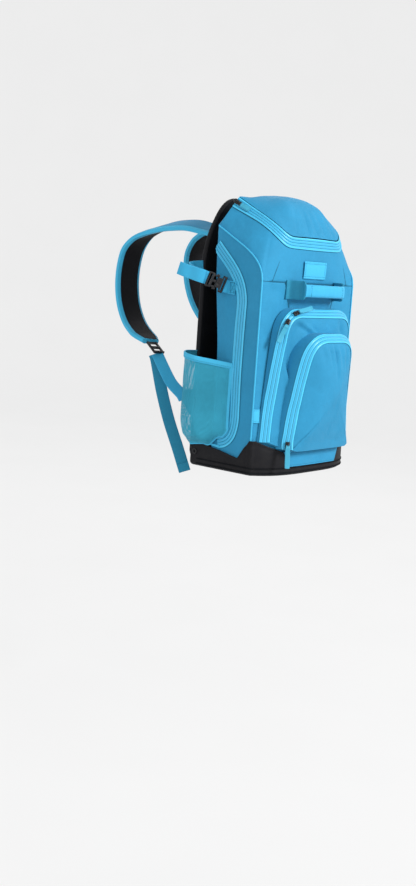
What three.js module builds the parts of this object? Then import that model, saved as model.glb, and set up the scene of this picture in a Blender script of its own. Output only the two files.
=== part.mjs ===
// A baseball bat backpack: a hollow soft body with a zipped lid, two front pockets, a boot,
// bat channels with mesh pockets and buckled straps, a haul handle and a shoulder harness.
// Millimetres. X runs across the back, Y towards the wearer, Z up.
import * as THREE from 'three';
import { mergeVertices } from 'three/addons/utils/BufferGeometryUtils.js';

// Cloth and clearances
const gap = 0.3;
const bodyWall = 2.5;
const pocketWall = 2.2;
const bootWall = 2.5;
const tapeThick = 1.8;
const webThick = 2.2;
const meshWall = 1.2;

// Body, seen from behind the wearer: heights from the underside, depths from the wearer's back
const bodyHalf = 160;
const frontCrown = 37;
const bodyDepth = 168;
const sideBelly = 4;
const panelThick = 12;
const channelHalf = 80;
const channelDepth = 64;
const channelTopDepth = 45;
const channelLowZ = 200;
const channelHighZ = 445;
const zipRearDepth = 60;
const bodyFloor = 6;
const seamRearZ = 494;
const seamFrontZ = 388;
const seamSlope = 0.56;
const seamRound = 32;
const shoulderBulge = 1.5;

// Lid
const zipRearHalf = 129;
const zipRearZ = 541;
const zipSideHalf = 118;
const zipSideDepth = 124;
const zipSideZ = 510;
const zipFrontHalf = 90;
const zipFrontZ = 467;
const zipKneeZ = 487;
const lidTopZ = 562;
const lidRidgeDepth = 92;
const lidZipWidth = 24;
const lidRearGap = 3;
const lidEdgeLift = 2.1;

// Boot at the base, by the height of its top edge
const bootRearZ = 40;
const bootSideZ = 48;
const bootDipZ = 32;
const bootCornerZ = 71;
const bootFrontZ = 46;
const bootRound = 8;

// Front pockets
const upperTopZ = 328;
const upperTopHalf = 110;
const upperFootHalf = 140;
const upperTopStand = 27;
const upperFootStand = 7;
const upperBelly = 8;
const lowerTopZ = 281;
const lowerTopHalf = 72;
const lowerFootHalf = 104;
const lowerTopStand = 30;
const lowerFootStand = 13;
const lowerBelly = 22;
const footLift = 5;
const upperRootLift = 2.4;
const lowerRootLift = 3.4;
const upperRound = 40;
const lowerRound = 46;
const bevel = 9;

// Side zipper and piping
const sideZipWidth = 25;
const sideZipDepth = 124;
const sideZipRearZ = 453;
const sideZipSlope = 0.96;
const sideZipFootZ = 57;
const sideZipRound = 44;
const sideZipFootRound = 60;
const pipingRadius = 2.4;

// Bat pocket and strap
const batStandOff = 14;
const batReach = bodyHalf + batStandOff;
const batDepth = 38;
const batRadius = 33;
const hemFrontZ = 221;
const hemRearZ = 238;
const hemWidth = 12;
const batStrapWidth = 26;
const batSewnDepth = 94;
const batStrapFrontZ = 371;
const batStrapRearZ = 408;
const buckleWidth = 34;
const buckleThick = 9;
const batTailLength = 57;

// Haul handle and front trim
const handleWidth = 38;
const handleHalf = 80;
const handleStand = 29;
const handleZ = 374;
const gripHalf = 66;
const gripHeight = 24;
const gripThick = 9;
const labelWidth = 76;
const labelHeight = 35;
const labelZ = 415;
const bandTopHalf = 92;
const bandFootHalf = 82;
const bandTopZ = 42;
const bandFootZ = 20;
const tagWidth = 12;
const tagHeight = 27;
const tagZ = 121;

// Harness
const panelInset = 10;
const panelHalf = bodyHalf - panelInset;
const panelFootZ = 14;
const panelTopZ = 552;
const panelTopHalf = 62;
const panelNeckHalf = 121;
const panelNeckZ = 505;
const panelNarrowZ = 420;
const strapWidth = 68;
const strapThick = 12;
const strapRoot = 74;
const strapTopZ = 499;
const strapReach = 248;
const strapRoll = 0.3;
const adjusterZ = 222;
const adjusterHalf = panelHalf;
const adjusterRun = 28;
const lowerWebWidth = 25;
const tabZ = 128;
const tailEndZ = -20;

// The mount where the harness sits on the shoulders
const mountDepth = 100;

const turquoise = 0x3f97c9;
const brightTurquoise = 0x58c1ee;
const black = 0x1b1b1f;

const at = (x, y, z) => new THREE.Vector3(x, y, z);
const mix = THREE.MathUtils.lerp;
const clamp01 = (value) => THREE.MathUtils.clamp(value, 0, 1);

// A value read from table rows, straight between one row and the next
function fromRows(rows, key, value, where) {
  const last = rows.length - 1;
  if (where <= rows[0][key]) return rows[0][value];
  if (where >= rows[last][key]) return rows[last][value];
  const k = rows.findIndex((row) => row[key] >= where);
  const share = (where - rows[k - 1][key]) / (rows[k][key] - rows[k - 1][key]);
  return mix(rows[k - 1][value], rows[k][value], share);
}

// Closed geometry from points and triangles, with its faces turned outwards
function solid(points, faces) {
  const loose = new THREE.BufferGeometry();
  loose.setAttribute('position', new THREE.Float32BufferAttribute(points.flatMap((p) => [p.x, p.y, p.z]), 3));
  loose.setIndex(faces.flat());
  const geometry = mergeVertices(loose, 1e-3);
  const position = geometry.getAttribute('position');
  const index = Array.from(geometry.getIndex().array);
  const corners = [at(0, 0, 0), at(0, 0, 0), at(0, 0, 0)];
  const kept = [];
  let volume = 0;
  for (let k = 0; k < index.length; k += 3) {
    const [a, b, c] = index.slice(k, k + 3);
    if (a === b || b === c || c === a) continue;
    [a, b, c].forEach((n, side) => corners[side].fromBufferAttribute(position, n));
    volume += corners[0].dot(corners[1].clone().cross(corners[2]));
    kept.push([a, b, c]);
  }
  geometry.setIndex((volume < 0 ? kept.map(([a, b, c]) => [a, c, b]) : kept).flat());
  geometry.computeVertexNormals();
  return geometry;
}

// The way out of a surface at one point of its rows
function outward(rows, r, c, ring) {
  const count = rows[0].length;
  const before = rows[r][ring ? (c + count - 1) % count : Math.max(c - 1, 0)];
  const after = rows[r][ring ? (c + 1) % count : Math.min(c + 1, count - 1)];
  const under = rows[Math.max(r - 1, 0)][c];
  const over = rows[Math.min(r + 1, rows.length - 1)][c];
  return after.clone().sub(before).cross(over.clone().sub(under)).normalize();
}

// Rows moved off their own surface by a distance
function offsetRows(rows, distance, ring = false) {
  return rows.map((row, r) => row.map((p, c) => p.clone().addScaledVector(outward(rows, r, c, ring), distance)));
}

// A cloth wall: rows are its outer face and the inner face lies one wall behind.
// A ring closes each row on itself, and a capped wall is closed over its last row.
function cloth(rows, wall, { ring = false, capped = false } = {}) {
  const count = rows[0].length;
  const back = offsetRows(rows, -wall, ring);
  const points = [...rows.flat(), ...back.flat()];
  const half = rows.length * count;
  const faces = [];
  const quad = (a, b, c, d) => faces.push([a, b, c], [a, c, d]);
  const columns = ring ? count : count - 1;
  for (let r = 0; r < rows.length - 1; r++) {
    for (let c = 0; c < columns; c++) {
      const a = r * count + c;
      const b = r * count + (c + 1) % count;
      quad(a, b, b + count, a + count);
      quad(half + b, half + a, half + a + count, half + b + count);
    }
  }
  const rim = (r, turn) => {
    for (let c = 0; c < columns; c++) {
      const a = r * count + c;
      const b = r * count + (c + 1) % count;
      if (turn) quad(a, b, half + b, half + a);
      else quad(b, a, half + a, half + b);
    }
  };
  rim(0, false);
  if (capped) {
    const last = (rows.length - 1) * count;
    for (const base of [last, half + last]) {
      points.push(points.slice(base, base + count).reduce((sum, p) => sum.add(p), at(0, 0, 0)).divideScalar(count));
      const middle = points.length - 1;
      for (let c = 0; c < count; c++) {
        const a = base + c;
        const b = base + (c + 1) % count;
        faces.push(base === last ? [a, b, middle] : [b, a, middle]);
      }
    }
  } else {
    rim(rows.length - 1, true);
  }
  if (!ring) {
    for (let r = 0; r < rows.length - 1; r++) {
      const a = r * count;
      const b = a + count - 1;
      quad(a, a + count, half + a + count, half + a);
      quad(b + count, b, half + b, half + b + count);
    }
  }
  return solid(points, faces);
}

// A closed body from rings of points, with each end closed over
function closedRings(rows) {
  const count = rows[0].length;
  const points = rows.flat();
  const faces = [];
  for (let r = 0; r < rows.length - 1; r++) {
    for (let c = 0; c < count; c++) {
      const a = r * count + c;
      const b = r * count + (c + 1) % count;
      faces.push([a, b, b + count], [a, b + count, a + count]);
    }
  }
  for (const base of [0, (rows.length - 1) * count]) {
    points.push(points.slice(base, base + count).reduce((sum, p) => sum.add(p), at(0, 0, 0)).divideScalar(count));
    for (let c = 0; c < count; c++) {
      const a = base + c;
      const b = base + (c + 1) % count;
      faces.push(base === 0 ? [b, a, points.length - 1] : [a, b, points.length - 1]);
    }
  }
  return solid(points, faces);
}

// A band, tube or webbing: a convex section carried along a path. Section points are
// [across, out], and across is the width's direction, one for all or one a point.
function sweep(path, across, section) {
  const count = section.length;
  const points = [];
  path.forEach((p, k) => {
    const along = path[Math.min(k + 1, path.length - 1)].clone().sub(path[Math.max(k - 1, 0)]).normalize();
    const wide = (Array.isArray(across) ? across[k] : across).clone();
    wide.addScaledVector(along, -wide.dot(along)).normalize();
    const out = along.clone().cross(wide);
    for (const [u, v] of section) points.push(p.clone().addScaledVector(wide, u).addScaledVector(out, v));
  });
  const faces = [];
  for (let r = 0; r < path.length - 1; r++) {
    for (let c = 0; c < count; c++) {
      const a = r * count + c;
      const b = r * count + (c + 1) % count;
      faces.push([a, b, b + count], [a, b + count, a + count]);
    }
  }
  const end = (path.length - 1) * count;
  for (let c = 1; c < count - 1; c++) faces.push([0, c + 1, c], [end, end + c, end + c + 1]);
  return solid(points, faces);
}

const flatSection = (width, thick) => [[-width / 2, 0], [width / 2, 0], [width / 2, thick], [-width / 2, thick]];

function padSection(width, thick) {
  const edge = thick / 3;
  return [[-width / 2, edge], [-width / 2 + edge, 0], [width / 2 - edge, 0], [width / 2, edge],
    [width / 2, thick - edge], [width / 2 - edge, thick], [-width / 2 + edge, thick], [-width / 2, thick - edge]];
}

function roundSection(radius, sides = 6) {
  return Array.from({ length: sides }, (_, k) => {
    const angle = (k / sides) * 2 * Math.PI;
    return [radius * Math.cos(angle), radius * Math.sin(angle)];
  });
}

const smooth = (points, count) => new THREE.CatmullRomCurve3(points, false, 'centripetal').getSpacedPoints(count);

function mirrored(geometry) {
  const copy = geometry.clone();
  copy.scale(-1, 1, 1);
  const index = Array.from(copy.getIndex().array);
  for (let k = 0; k < index.length; k += 3) [index[k + 1], index[k + 2]] = [index[k + 2], index[k + 1]];
  copy.setIndex(index);
  copy.computeVertexNormals();
  return copy;
}

// Points of a half outline, from the middle of the back round the left side to the middle
// of the front, with the right side's added so that the row goes all the way round
function wholeRow(half) {
  return [...half, ...half.slice(1, -1).reverse().map((p) => at(-p.x, p.y, p.z))];
}

// The same rows read the other way round, which turns their outer face over
const turned = (rows) => rows.map((row) => row.slice().reverse());

// Shape of the body

const backFace = panelThick + bootWall + 2 * gap;
const bootSkin = bootWall + gap;
const bootEase = 2;

// How far the front stands forward of its corners in the middle, as shares of its fullest, by
// share of the front's height, and how square that stand is from side to side
const frontCrownRows = [
  { up: 0, crown: 1, square: 3.8 }, { up: 0.116, crown: 0.973, square: 3.8 },
  { up: 0.206, crown: 0.676, square: 3.2 }, { up: 0.361, crown: 0.378, square: 2.4 },
  { up: 0.644, crown: 0.243, square: 2 }, { up: 1, crown: 0.243, square: 2 }, { up: 1.204, crown: 0.216, square: 2 },
];

function bodyFrontY(x, z) {
  const crown = frontCrown * fromRows(frontCrownRows, 'up', 'crown', z / seamFrontZ);
  const square = fromRows(frontCrownRows, 'up', 'square', z / seamFrontZ);
  return -bodyDepth - crown * (1 - Math.min(Math.abs(x) / bodyHalf, 1) ** square);
}

// Depth of the bat channel's front wall, less at the top, where a bat is thin
function channelAt(z) {
  const up = THREE.MathUtils.smoothstep(z, channelLowZ, channelHighZ);
  return mix(channelDepth, channelTopDepth, up);
}

function sideX(depth, z) {
  const around = clamp01((depth - channelDepth) / (bodyDepth - channelDepth));
  const upward = clamp01((z - bootCornerZ) / (seamFrontZ - bootCornerZ));
  return -bodyHalf - sideBelly * Math.sin(Math.PI * around) * Math.sin(Math.PI * upward);
}

// Height of the side panel's edge: a straight slope that rounds into the front corner
function seamZ(depth) {
  const bend = bodyDepth - seamRound;
  const slopeZ = (d) => seamRearZ - seamSlope * (d - channelTopDepth);
  if (depth <= bend) return slopeZ(depth);
  const t = 1 - Math.sqrt(Math.max(0, 1 - (depth - bend) / seamRound));
  return (1 - t) ** 2 * slopeZ(bend) + 2 * t * (1 - t) * slopeZ(bodyDepth) + t * t * seamFrontZ;
}

// The lid zipper's middle line on the left, from the channel to the front
function zipLine(share) {
  const rear = at(-zipRearHalf, -zipRearDepth - 3, zipRearZ);
  const side = at(-zipSideHalf, -zipSideDepth, zipSideZ);
  const front = at(-zipFrontHalf, -bodyDepth - 1, zipFrontZ);
  const knee = at(-zipSideHalf, -bodyDepth - 3, zipKneeZ);
  const straight = 0.5;
  if (share <= straight) return rear.lerp(side, share / straight);
  const t = (share - straight) / (1 - straight);
  return side.multiplyScalar((1 - t) ** 2).addScaledVector(knee, 2 * t * (1 - t)).addScaledVector(front, t * t);
}

// Stations round half of the body. Back stations are shares of the channel's half width and
// depth, side stations are shares of the side's depth, and front ones shares of a half width.
const backStations = [
  { across: 0, deep: 0 }, { across: 0.5, deep: 0 }, { across: 0.95, deep: 0 }, { across: 1, deep: 0.1 },
  { across: 1, deep: 0.92 }, { across: 1.06, deep: 1 }, { across: 1.5, deep: 1 }, { across: 1.94, deep: 1 },
];
const sideStations = [
  { along: 0.04 }, { along: 0.22 }, { along: 0.42 }, { along: 0.61 }, { along: 0.78 }, { along: 0.92 },
  { along: 1 },
];
const cornerStations = [{ inward: 0.97 }, { inward: 0.88 }, { inward: 0.79 }];
const frontStations = [{ inward: 0.67 }, { inward: 0.5 }, { inward: 0.33 }, { inward: 0.16 }, { inward: 0 }];

// One entry for each station, with its point at a height of the lower body, at the side
// panel's edge (the seam) and on the lid zipper's line
function bodyStations() {
  const list = [];
  for (const { across, deep } of backStations) {
    const x = -across * channelHalf;
    list.push({
      back: true,
      low: (z) => at(x, -mix(backFace, channelAt(z), deep), 0),
      seam: at(x, -channelTopDepth, seamRearZ),
      zip: at(x * (zipRearHalf / bodyHalf), -zipRearDepth, zipRearZ),
    });
  }
  const runs = sideStations.length + cornerStations.length;
  sideStations.forEach(({ along }, k) => {
    const depth = mix(channelTopDepth, bodyDepth, along);
    const depthAt = (z) => mix(channelAt(z), bodyDepth, along);
    list.push({
      low: (z) => at(sideX(depthAt(z), z), -depthAt(z), 0),
      seam: at(sideX(depth, seamZ(depth)), -depth, seamZ(depth)),
      zip: zipLine(k / (runs - 1)),
    });
  });
  cornerStations.forEach(({ inward }, k) => {
    const x = -inward * bodyHalf;
    list.push({
      low: (z) => at(x, bodyFrontY(x, z), 0),
      seam: at(x, bodyFrontY(x, seamFrontZ), seamFrontZ),
      zip: zipLine((sideStations.length + k) / (runs - 1)),
    });
  });
  const cornerIn = cornerStations[cornerStations.length - 1].inward;
  for (const { inward } of frontStations) {
    const x = -inward * bodyHalf;
    const zipX = -zipFrontHalf * (inward / cornerIn);
    list.push({
      low: (z) => at(x, bodyFrontY(x, z), 0),
      seam: at(x, bodyFrontY(x, seamFrontZ), seamFrontZ),
      zip: at(zipX, bodyFrontY(zipX, zipFrontZ), zipFrontZ),
    });
  }
  return list;
}
const stations = bodyStations();

// The panel between the side edge or front seam and the lid zipper, at a share of its rise
function upperPoint(station, share) {
  const p = station.seam.clone().lerp(station.zip, share);
  const bulge = shoulderBulge * Math.sin(Math.PI * clamp01(share));
  if (!station.back) p.add(at(p.x, p.y + zipRearDepth, 0).normalize().multiplyScalar(bulge));
  return p;
}

// A row at a distance above or below the zipper's middle line, measured up the panel
function zipRow(distance, rearDistance, kept = stations) {
  return kept.map((station) => {
    const rise = station.zip.distanceTo(station.seam);
    return upperPoint(station, 1 + (station.back ? rearDistance : distance) / rise);
  });
}

function shrunkRow(row, share, z) {
  const middle = at(0, -(backFace + bodyDepth) / 2, 0);
  return row.map((p) => p.clone().sub(middle).multiplyScalar(share).add(middle).setZ(z));
}

const upperShares = [0.5];
const lowerShares = [1, 0.82, 0.639, 0.351, 0.194, 0.102, 0.02];
const floorShares = [0.96, 0.1];

function mainShell() {
  const half = [
    zipRow(-lidZipWidth / 2 - gap * 2, -lidRearGap / 2),
    ...upperShares.map((share) => stations.map((station) => upperPoint(station, share))),
    stations.map((station) => upperPoint(station, station.back ? 0.04 : 0)),
    ...lowerShares.map((share) => stations.map((station) => {
      const z = mix(bodyFloor, station.seam.z, share);
      return station.low(z).setZ(z);
    })),
  ];
  const foot = half[half.length - 1];
  half.push(...floorShares.map((share) => shrunkRow(foot, share, bodyFloor)));
  return cloth(turned(half.map(wholeRow)), bodyWall, { ring: true, capped: true });
}

// The lid arches from the zipper to a ridge. Rows are shares of the way in to the ridge.
const lidRows = [{ turn: 0.13 }, { turn: 0.3 }, { turn: 0.5 }, { turn: 0.74 }, { turn: 1 }];
const ridgeShare = 0.12;
const lidFullness = 2.1;

function lidPoint(edge, turn) {
  const ridge = at(edge.x * ridgeShare, mix(edge.y, -lidRidgeDepth, 1 - ridgeShare), lidTopZ);
  return edge.clone().lerp(ridge, turn).setZ(mix(edge.z, ridge.z, 1 - (1 - turn) ** lidFullness));
}

function lidDome() {
  const edge = zipRow(lidZipWidth / 2 + lidEdgeLift, lidRearGap / 2);
  const half = [edge, ...lidRows.map(({ turn }) => edge.map((p) => lidPoint(p, turn)))];
  return cloth(half.map(wholeRow), bodyWall, { ring: true, capped: true });
}

const zippedStations = stations.filter((station) => !station.back);
const wholeFront = (half) => [...half, ...half.slice(0, -1).reverse().map((p) => at(-p.x, p.y, p.z))];

function lidZipper() {
  const rows = [-0.5, 0, 0.5].map((share) => {
    const half = zipRow(share * lidZipWidth, 0, zippedStations);
    half[0].lerp(half[1], 0.3);
    return wholeFront(half);
  });
  return cloth(rows, tapeThick);
}

// Boot

// Height of the boot's top edge: along the side as shares of the body's depth, and across
// the front as shares of its half width
const bootSideRows = [
  { along: 0, z: bootRearZ }, { along: 0.3, z: bootSideZ }, { along: 0.56, z: mix(bootSideZ, bootDipZ, 0.4) },
  { along: 0.83, z: bootDipZ }, { along: 0.91, z: mix(bootDipZ, bootCornerZ, 0.55) }, { along: 1, z: bootCornerZ },
];
const bootFrontRows = [
  { inward: 0, z: bootFrontZ }, { inward: 0.55, z: bootFrontZ }, { inward: 0.82, z: mix(bootFrontZ, bootCornerZ, 0.6) },
  { inward: 0.97, z: bootCornerZ }, { inward: 1, z: bootCornerZ },
];
const bootSideEdge = (depth) => fromRows(bootSideRows, 'along', 'z', depth / bodyDepth);
const bootFrontEdge = (x) => fromRows(bootFrontRows, 'inward', 'z', Math.abs(x) / bodyHalf);
const bootFrontY = (x, z) => bodyFrontY(x, z) - bootSkin - bootEase;
const bootSideX = -bodyHalf - bootSkin;

const bootBackStations = [{ inward: 0 }, { inward: 0.5 }, { inward: 0.97 }];
const bootSideStations = [
  { along: 0.1 }, { along: 0.3 }, { along: 0.45 }, { along: 0.6 }, { along: 0.74 }, { along: 0.83 },
  { along: 0.91 }, { along: 1.012 },
];
const bootFrontStations = [
  { inward: 0.985 }, { inward: 0.9 }, { inward: 0.8 }, { inward: 0.68 }, { inward: 0.5 }, { inward: 0.25 }, { inward: 0 },
];

function bootRow(height) {
  const rear = -panelThick - gap;
  return [
    ...bootBackStations.map(({ inward }) => at(bootSideX * inward, rear, height(bootRearZ))),
    ...bootSideStations.map(({ along }) => at(bootSideX, -along * bodyDepth, height(bootSideEdge(along * bodyDepth)))),
    ...bootFrontStations.map(({ inward }) => {
      const x = -inward * bodyHalf;
      const z = height(bootFrontEdge(x));
      return at(x, bootFrontY(x, z), z);
    }),
  ];
}

// The boot's wall by share of its height, then its rounded lower edge and flat underside
const bootRows = [{ share: 1 }, { share: 0.6 }, { share: 0.25 }];

function baseBoot() {
  const half = bootRows.map(({ share }) => bootRow((edge) => mix(bootRound, edge, share)));
  const foot = bootRow(() => bootRound);
  half.push(foot, shrunkRow(foot, 0.985, bootRound * 0.3), shrunkRow(foot, 0.95, 0), shrunkRow(foot, 0.5, 0));
  half.push(shrunkRow(foot, 0.1, 0));
  return cloth(turned(half.map(wholeRow)), bootWall, { ring: true, capped: true });
}

// Front pockets

// A pocket's outline is its zipper's middle line: two legs that lean in to a rounded arch,
// closed along the boot's top edge
const archSteps = 26;
const footSteps = 8;

function pocketOutline({ topZ, topHalf, footHalf, round }) {
  const footZ = bootFrontEdge(footHalf) + footLift;
  const lean = (footHalf - topHalf) / (topZ - footZ);
  const legHalf = topHalf + lean * round;
  const path = new THREE.Path();
  path.moveTo(-footHalf, footZ);
  path.lineTo(-legHalf, topZ - round);
  path.quadraticCurveTo(-topHalf, topZ - 2, -topHalf + round, topZ);
  path.lineTo(topHalf - round, topZ);
  path.quadraticCurveTo(topHalf, topZ - 2, legHalf, topZ - round);
  path.lineTo(footHalf, footZ);
  const arch = path.getSpacedPoints(archSteps).map((p) => ({ x: p.x, z: p.y, arch: true }));
  for (let k = 1; k < footSteps; k++) {
    const x = mix(footHalf, -footHalf, k / footSteps);
    arch.push({ x, z: bootFrontEdge(x) + footLift, arch: false });
  }
  return arch;
}

// The outline's points moved outwards in the front's plane, by one distance along the arch
// and another along the foot
function spreadOutline(outline, archMove, footMove) {
  const count = outline.length;
  return outline.map((p, k) => {
    const before = outline[(k + count - 1) % count];
    const after = outline[(k + 1) % count];
    const length = Math.hypot(after.x - before.x, after.z - before.z);
    const move = p.arch ? archMove : footMove;
    const corner = k === 0 || k === archSteps;
    const turn = corner ? { x: Math.sign(p.x), z: 0 } : { x: -(after.z - before.z) / length, z: (after.x - before.x) / length };
    return { ...p, x: p.x + turn.x * move, z: p.z + turn.z * move };
  });
}

// Folds pressed into a pocket's face: each runs from one place to another in shares of the
// pocket's half width and height, with its own depth and width
function foldDepth(folds, x, z) {
  return folds.reduce((sum, fold) => {
    const along = at(fold.toX - fold.fromX, 0, fold.toZ - fold.fromZ);
    const from = at(x - fold.fromX, 0, z - fold.fromZ);
    const share = clamp01(from.dot(along) / along.lengthSq());
    const away = from.addScaledVector(along, -share).length();
    return sum + fold.deep * Math.exp(-((away / fold.wide) ** 2));
  }, 0);
}

function makePocket(size, carrierY, folds) {
  const outline = pocketOutline(size);
  const footZ = bootFrontEdge(size.footHalf) + footLift;
  const middleZ = (bootFrontZ + size.topZ) / 2;
  const lip = spreadOutline(outline, -bevel, -2);
  const stand = (z) => mix(size.footStand, size.topStand, clamp01((z - footZ) / (size.topZ - footZ)));
  const folded = folds.map((fold) => ({
    fromX: fold.fromX * size.topHalf, toX: fold.toX * size.topHalf,
    fromZ: fold.fromZ * size.topZ, toZ: fold.toZ * size.topZ, deep: fold.deep, wide: fold.wide,
  }));
  // How near a point of the face lies to the lip, from 0 in the middle to 1 on it
  const gauge = (x, z) => {
    const angle = Math.atan2(z - middleZ, x);
    const spoke = lip.reduce((best, p) => {
      const turn = Math.abs(Math.atan2(Math.sin(angle - Math.atan2(p.z - middleZ, p.x)), Math.cos(angle - Math.atan2(p.z - middleZ, p.x))));
      return turn < best.turn ? { turn, reach: Math.hypot(p.x, p.z - middleZ) } : best;
    }, { turn: Infinity, reach: 1 });
    return Math.min(1, Math.hypot(x, z - middleZ) / spoke.reach);
  };
  const faceY = (x, z, near = gauge(x, z)) => carrierY(x, z) - stand(z) - bevel * 0.6
    - size.belly * (1 - near ** 2.4) + foldDepth(folded, x, z) * Math.min(1, (1 - near) * 5);
  return { size, outline, lip, stand, middleZ, carrierY, faceY };
}

const faceShares = [0.86, 0.64, 0.36, 0.08];

function gussetRows(pocket) {
  const { outline, lip, stand, carrierY } = pocket;
  const shoulder = spreadOutline(outline, bevel, 0);
  return {
    root: spreadOutline(outline, bevel + 1, 0).map((p) => at(p.x, carrierY(p.x, p.z) - pocket.size.rootLift, p.z)),
    shoulder: shoulder.map((p) => at(p.x, carrierY(p.x, p.z) - Math.max(pocket.size.rootLift + 3, stand(p.z) - bevel * 0.9), p.z)),
    lip: lip.map((p) => at(p.x, carrierY(p.x, p.z) - stand(p.z) - bevel * 0.6, p.z)),
  };
}

function pocketShell(pocket) {
  const { root, shoulder, lip } = gussetRows(pocket);
  const rows = [root, shoulder, lip];
  for (const share of faceShares) {
    rows.push(pocket.lip.map((p) => {
      const x = p.x * share;
      const z = mix(pocket.middleZ, p.z, share);
      return at(x, pocket.faceY(x, z, share), z);
    }));
  }
  return cloth(turned(rows), pocketWall, { ring: true, capped: true });
}

function pocketZipper(pocket) {
  const { shoulder, lip } = gussetRows(pocket);
  const rows = [shoulder, lip].map((row) => row.slice(0, archSteps + 1));
  const middle = rows[0].map((p, k) => p.clone().lerp(rows[1][k], 0.5));
  const trimmed = [rows[0].map((p, k) => p.clone().lerp(middle[k], 0.12)), middle,
    rows[1].map((p, k) => p.clone().lerp(middle[k], 0.12))];
  return cloth(offsetRows(turned(trimmed), 3 * gap + tapeThick), tapeThick);
}

const upperFolds = [
  { fromX: -0.85, fromZ: 0.96, toX: -0.35, toZ: 0.86, deep: 4, wide: 14 },
  { fromX: -1.0, fromZ: 0.82, toX: -0.86, toZ: 0.6, deep: 4, wide: 15 },
  { fromX: 0.55, fromZ: 0.97, toX: 0.6, toZ: 0.88, deep: 3, wide: 14 },
];
const lowerFolds = [
  { fromX: -0.1, fromZ: 0.97, toX: -0.05, toZ: 0.75, deep: 4, wide: 16 },
  { fromX: 0.5, fromZ: 0.97, toX: 0.42, toZ: 0.7, deep: 3, wide: 16 },
];
const upperPocket = makePocket({
  topZ: upperTopZ, topHalf: upperTopHalf, footHalf: upperFootHalf, round: upperRound,
  topStand: upperTopStand, footStand: upperFootStand, belly: upperBelly, rootLift: upperRootLift,
}, bodyFrontY, upperFolds);
const lowerPocket = makePocket({
  topZ: lowerTopZ, topHalf: lowerTopHalf, footHalf: lowerFootHalf, round: lowerRound,
  topStand: lowerTopStand, footStand: lowerFootStand, belly: lowerBelly, rootLift: lowerRootLift,
}, upperPocket.faceY, lowerFolds);

// Side zipper and piping, on the left; the right ones are mirrored

function sideZipPath() {
  const startDepth = channelAt(sideZipRearZ) + 4;
  const topZ = sideZipRearZ - sideZipSlope * (sideZipDepth - startDepth);
  const path = new THREE.Path();
  path.moveTo(startDepth, sideZipRearZ);
  path.lineTo(sideZipDepth - sideZipRound, topZ + sideZipSlope * sideZipRound);
  path.quadraticCurveTo(sideZipDepth, topZ, sideZipDepth, topZ - sideZipRound);
  path.lineTo(sideZipDepth, sideZipFootZ + sideZipFootRound);
  path.quadraticCurveTo(sideZipDepth, sideZipFootZ + 4, sideZipDepth - sideZipFootRound * 0.65, sideZipFootZ);
  return path.getSpacedPoints(24);
}

const onSide = (depth, z, lift) => at(sideX(depth, z) - lift, -depth, z);

// A flat band on the side panel along a path of depths and heights
function sideBand(path, width, lift, thick) {
  const rows = [0.5, 0, -0.5].map((share) => path.map((p, k) => {
    const before = path[Math.max(k - 1, 0)];
    const after = path[Math.min(k + 1, path.length - 1)];
    const length = Math.hypot(after.x - before.x, after.y - before.y);
    const depth = p.x - (after.y - before.y) / length * share * width;
    const z = p.y + (after.x - before.x) / length * share * width;
    return onSide(Math.max(depth, channelAt(z) + 3), z, lift + thick);
  }));
  return cloth(turned(rows), thick);
}

const sideZipper = () => sideBand(sideZipPath(), sideZipWidth, gap * 2.6, tapeThick);

function sidePiping() {
  const reach = pipingRadius + gap * 2;
  const path = [];
  for (const { along } of sideStations) {
    const depth = mix(channelTopDepth, bodyDepth, along);
    const z = seamZ(depth);
    const forward = Math.max(0, along - 0.7) / 0.3;
    const out = at(-1, -0.9 * forward, 0.7 * (1 - forward)).normalize();
    path.push(at(sideX(depth, z), -depth, z).addScaledVector(out, reach));
  }
  const cornerOut = at(-1, -0.9, 0).normalize();
  const footZ = bootCornerZ + gap;
  for (const share of [0.9, 0.75, 0.6, 0.45, 0.3, 0.15, 0]) {
    path.push(at(-bodyHalf, -bodyDepth, mix(footZ, seamFrontZ, share)).addScaledVector(cornerOut, reach));
  }
  return sweep(path, at(1, -1, 0), roundSection(pipingRadius));
}

// A folded tag in the left piping's seam, lying on the front
function sideTag() {
  const inner = bodyHalf - gap * 4;
  const rows = [0, 1].map((up) => [0, 0.5, 1].map((share) => {
    const x = -inner + share * tagWidth;
    const z = tagZ + (up - 0.5) * tagHeight;
    return at(x, bodyFrontY(x, z) - gap * 4 - webThick, z);
  }));
  return cloth(rows, webThick);
}

// Bat pocket: its plan goes from the side zipper's rear edge round a bat's barrel to the
// back panel's edge, and its foot draws in to the boot
const pocketFrontDepth = sideZipDepth - sideZipWidth / 2 - 1;
const pocketRearX = -panelHalf - gap - meshWall;
const pocketRearY = -panelThick / 2;
const barrelSteps = 7;

function pocketPlan(bulge) {
  const reach = batRadius + 2;
  const side = bootSideX - gap - meshWall;
  const full = [at(sideX(pocketFrontDepth, hemFrontZ) - gap * 3 - meshWall, -pocketFrontDepth, 0)];
  full.push(at(-batReach - reach * 0.55, -mix(pocketFrontDepth, batDepth, 0.55), 0));
  for (let k = 0; k < barrelSteps; k++) {
    const angle = mix(200, 92, k / (barrelSteps - 1)) * Math.PI / 180;
    full.push(at(-batReach + reach * Math.cos(angle), -batDepth + reach * Math.sin(angle), 0));
  }
  full.push(at(pocketRearX, pocketRearY, 0));
  const flatRearY = -panelThick - gap - 2;
  return full.map((p, k) => {
    const share = k / (full.length - 1);
    const flat = at(side, mix(-pocketFrontDepth, flatRearY, Math.min(1, share * 1.15)), 0);
    return (k === full.length - 1 ? at(pocketRearX, pocketRearY, 0) : flat.lerp(p, bulge));
  });
}

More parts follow.
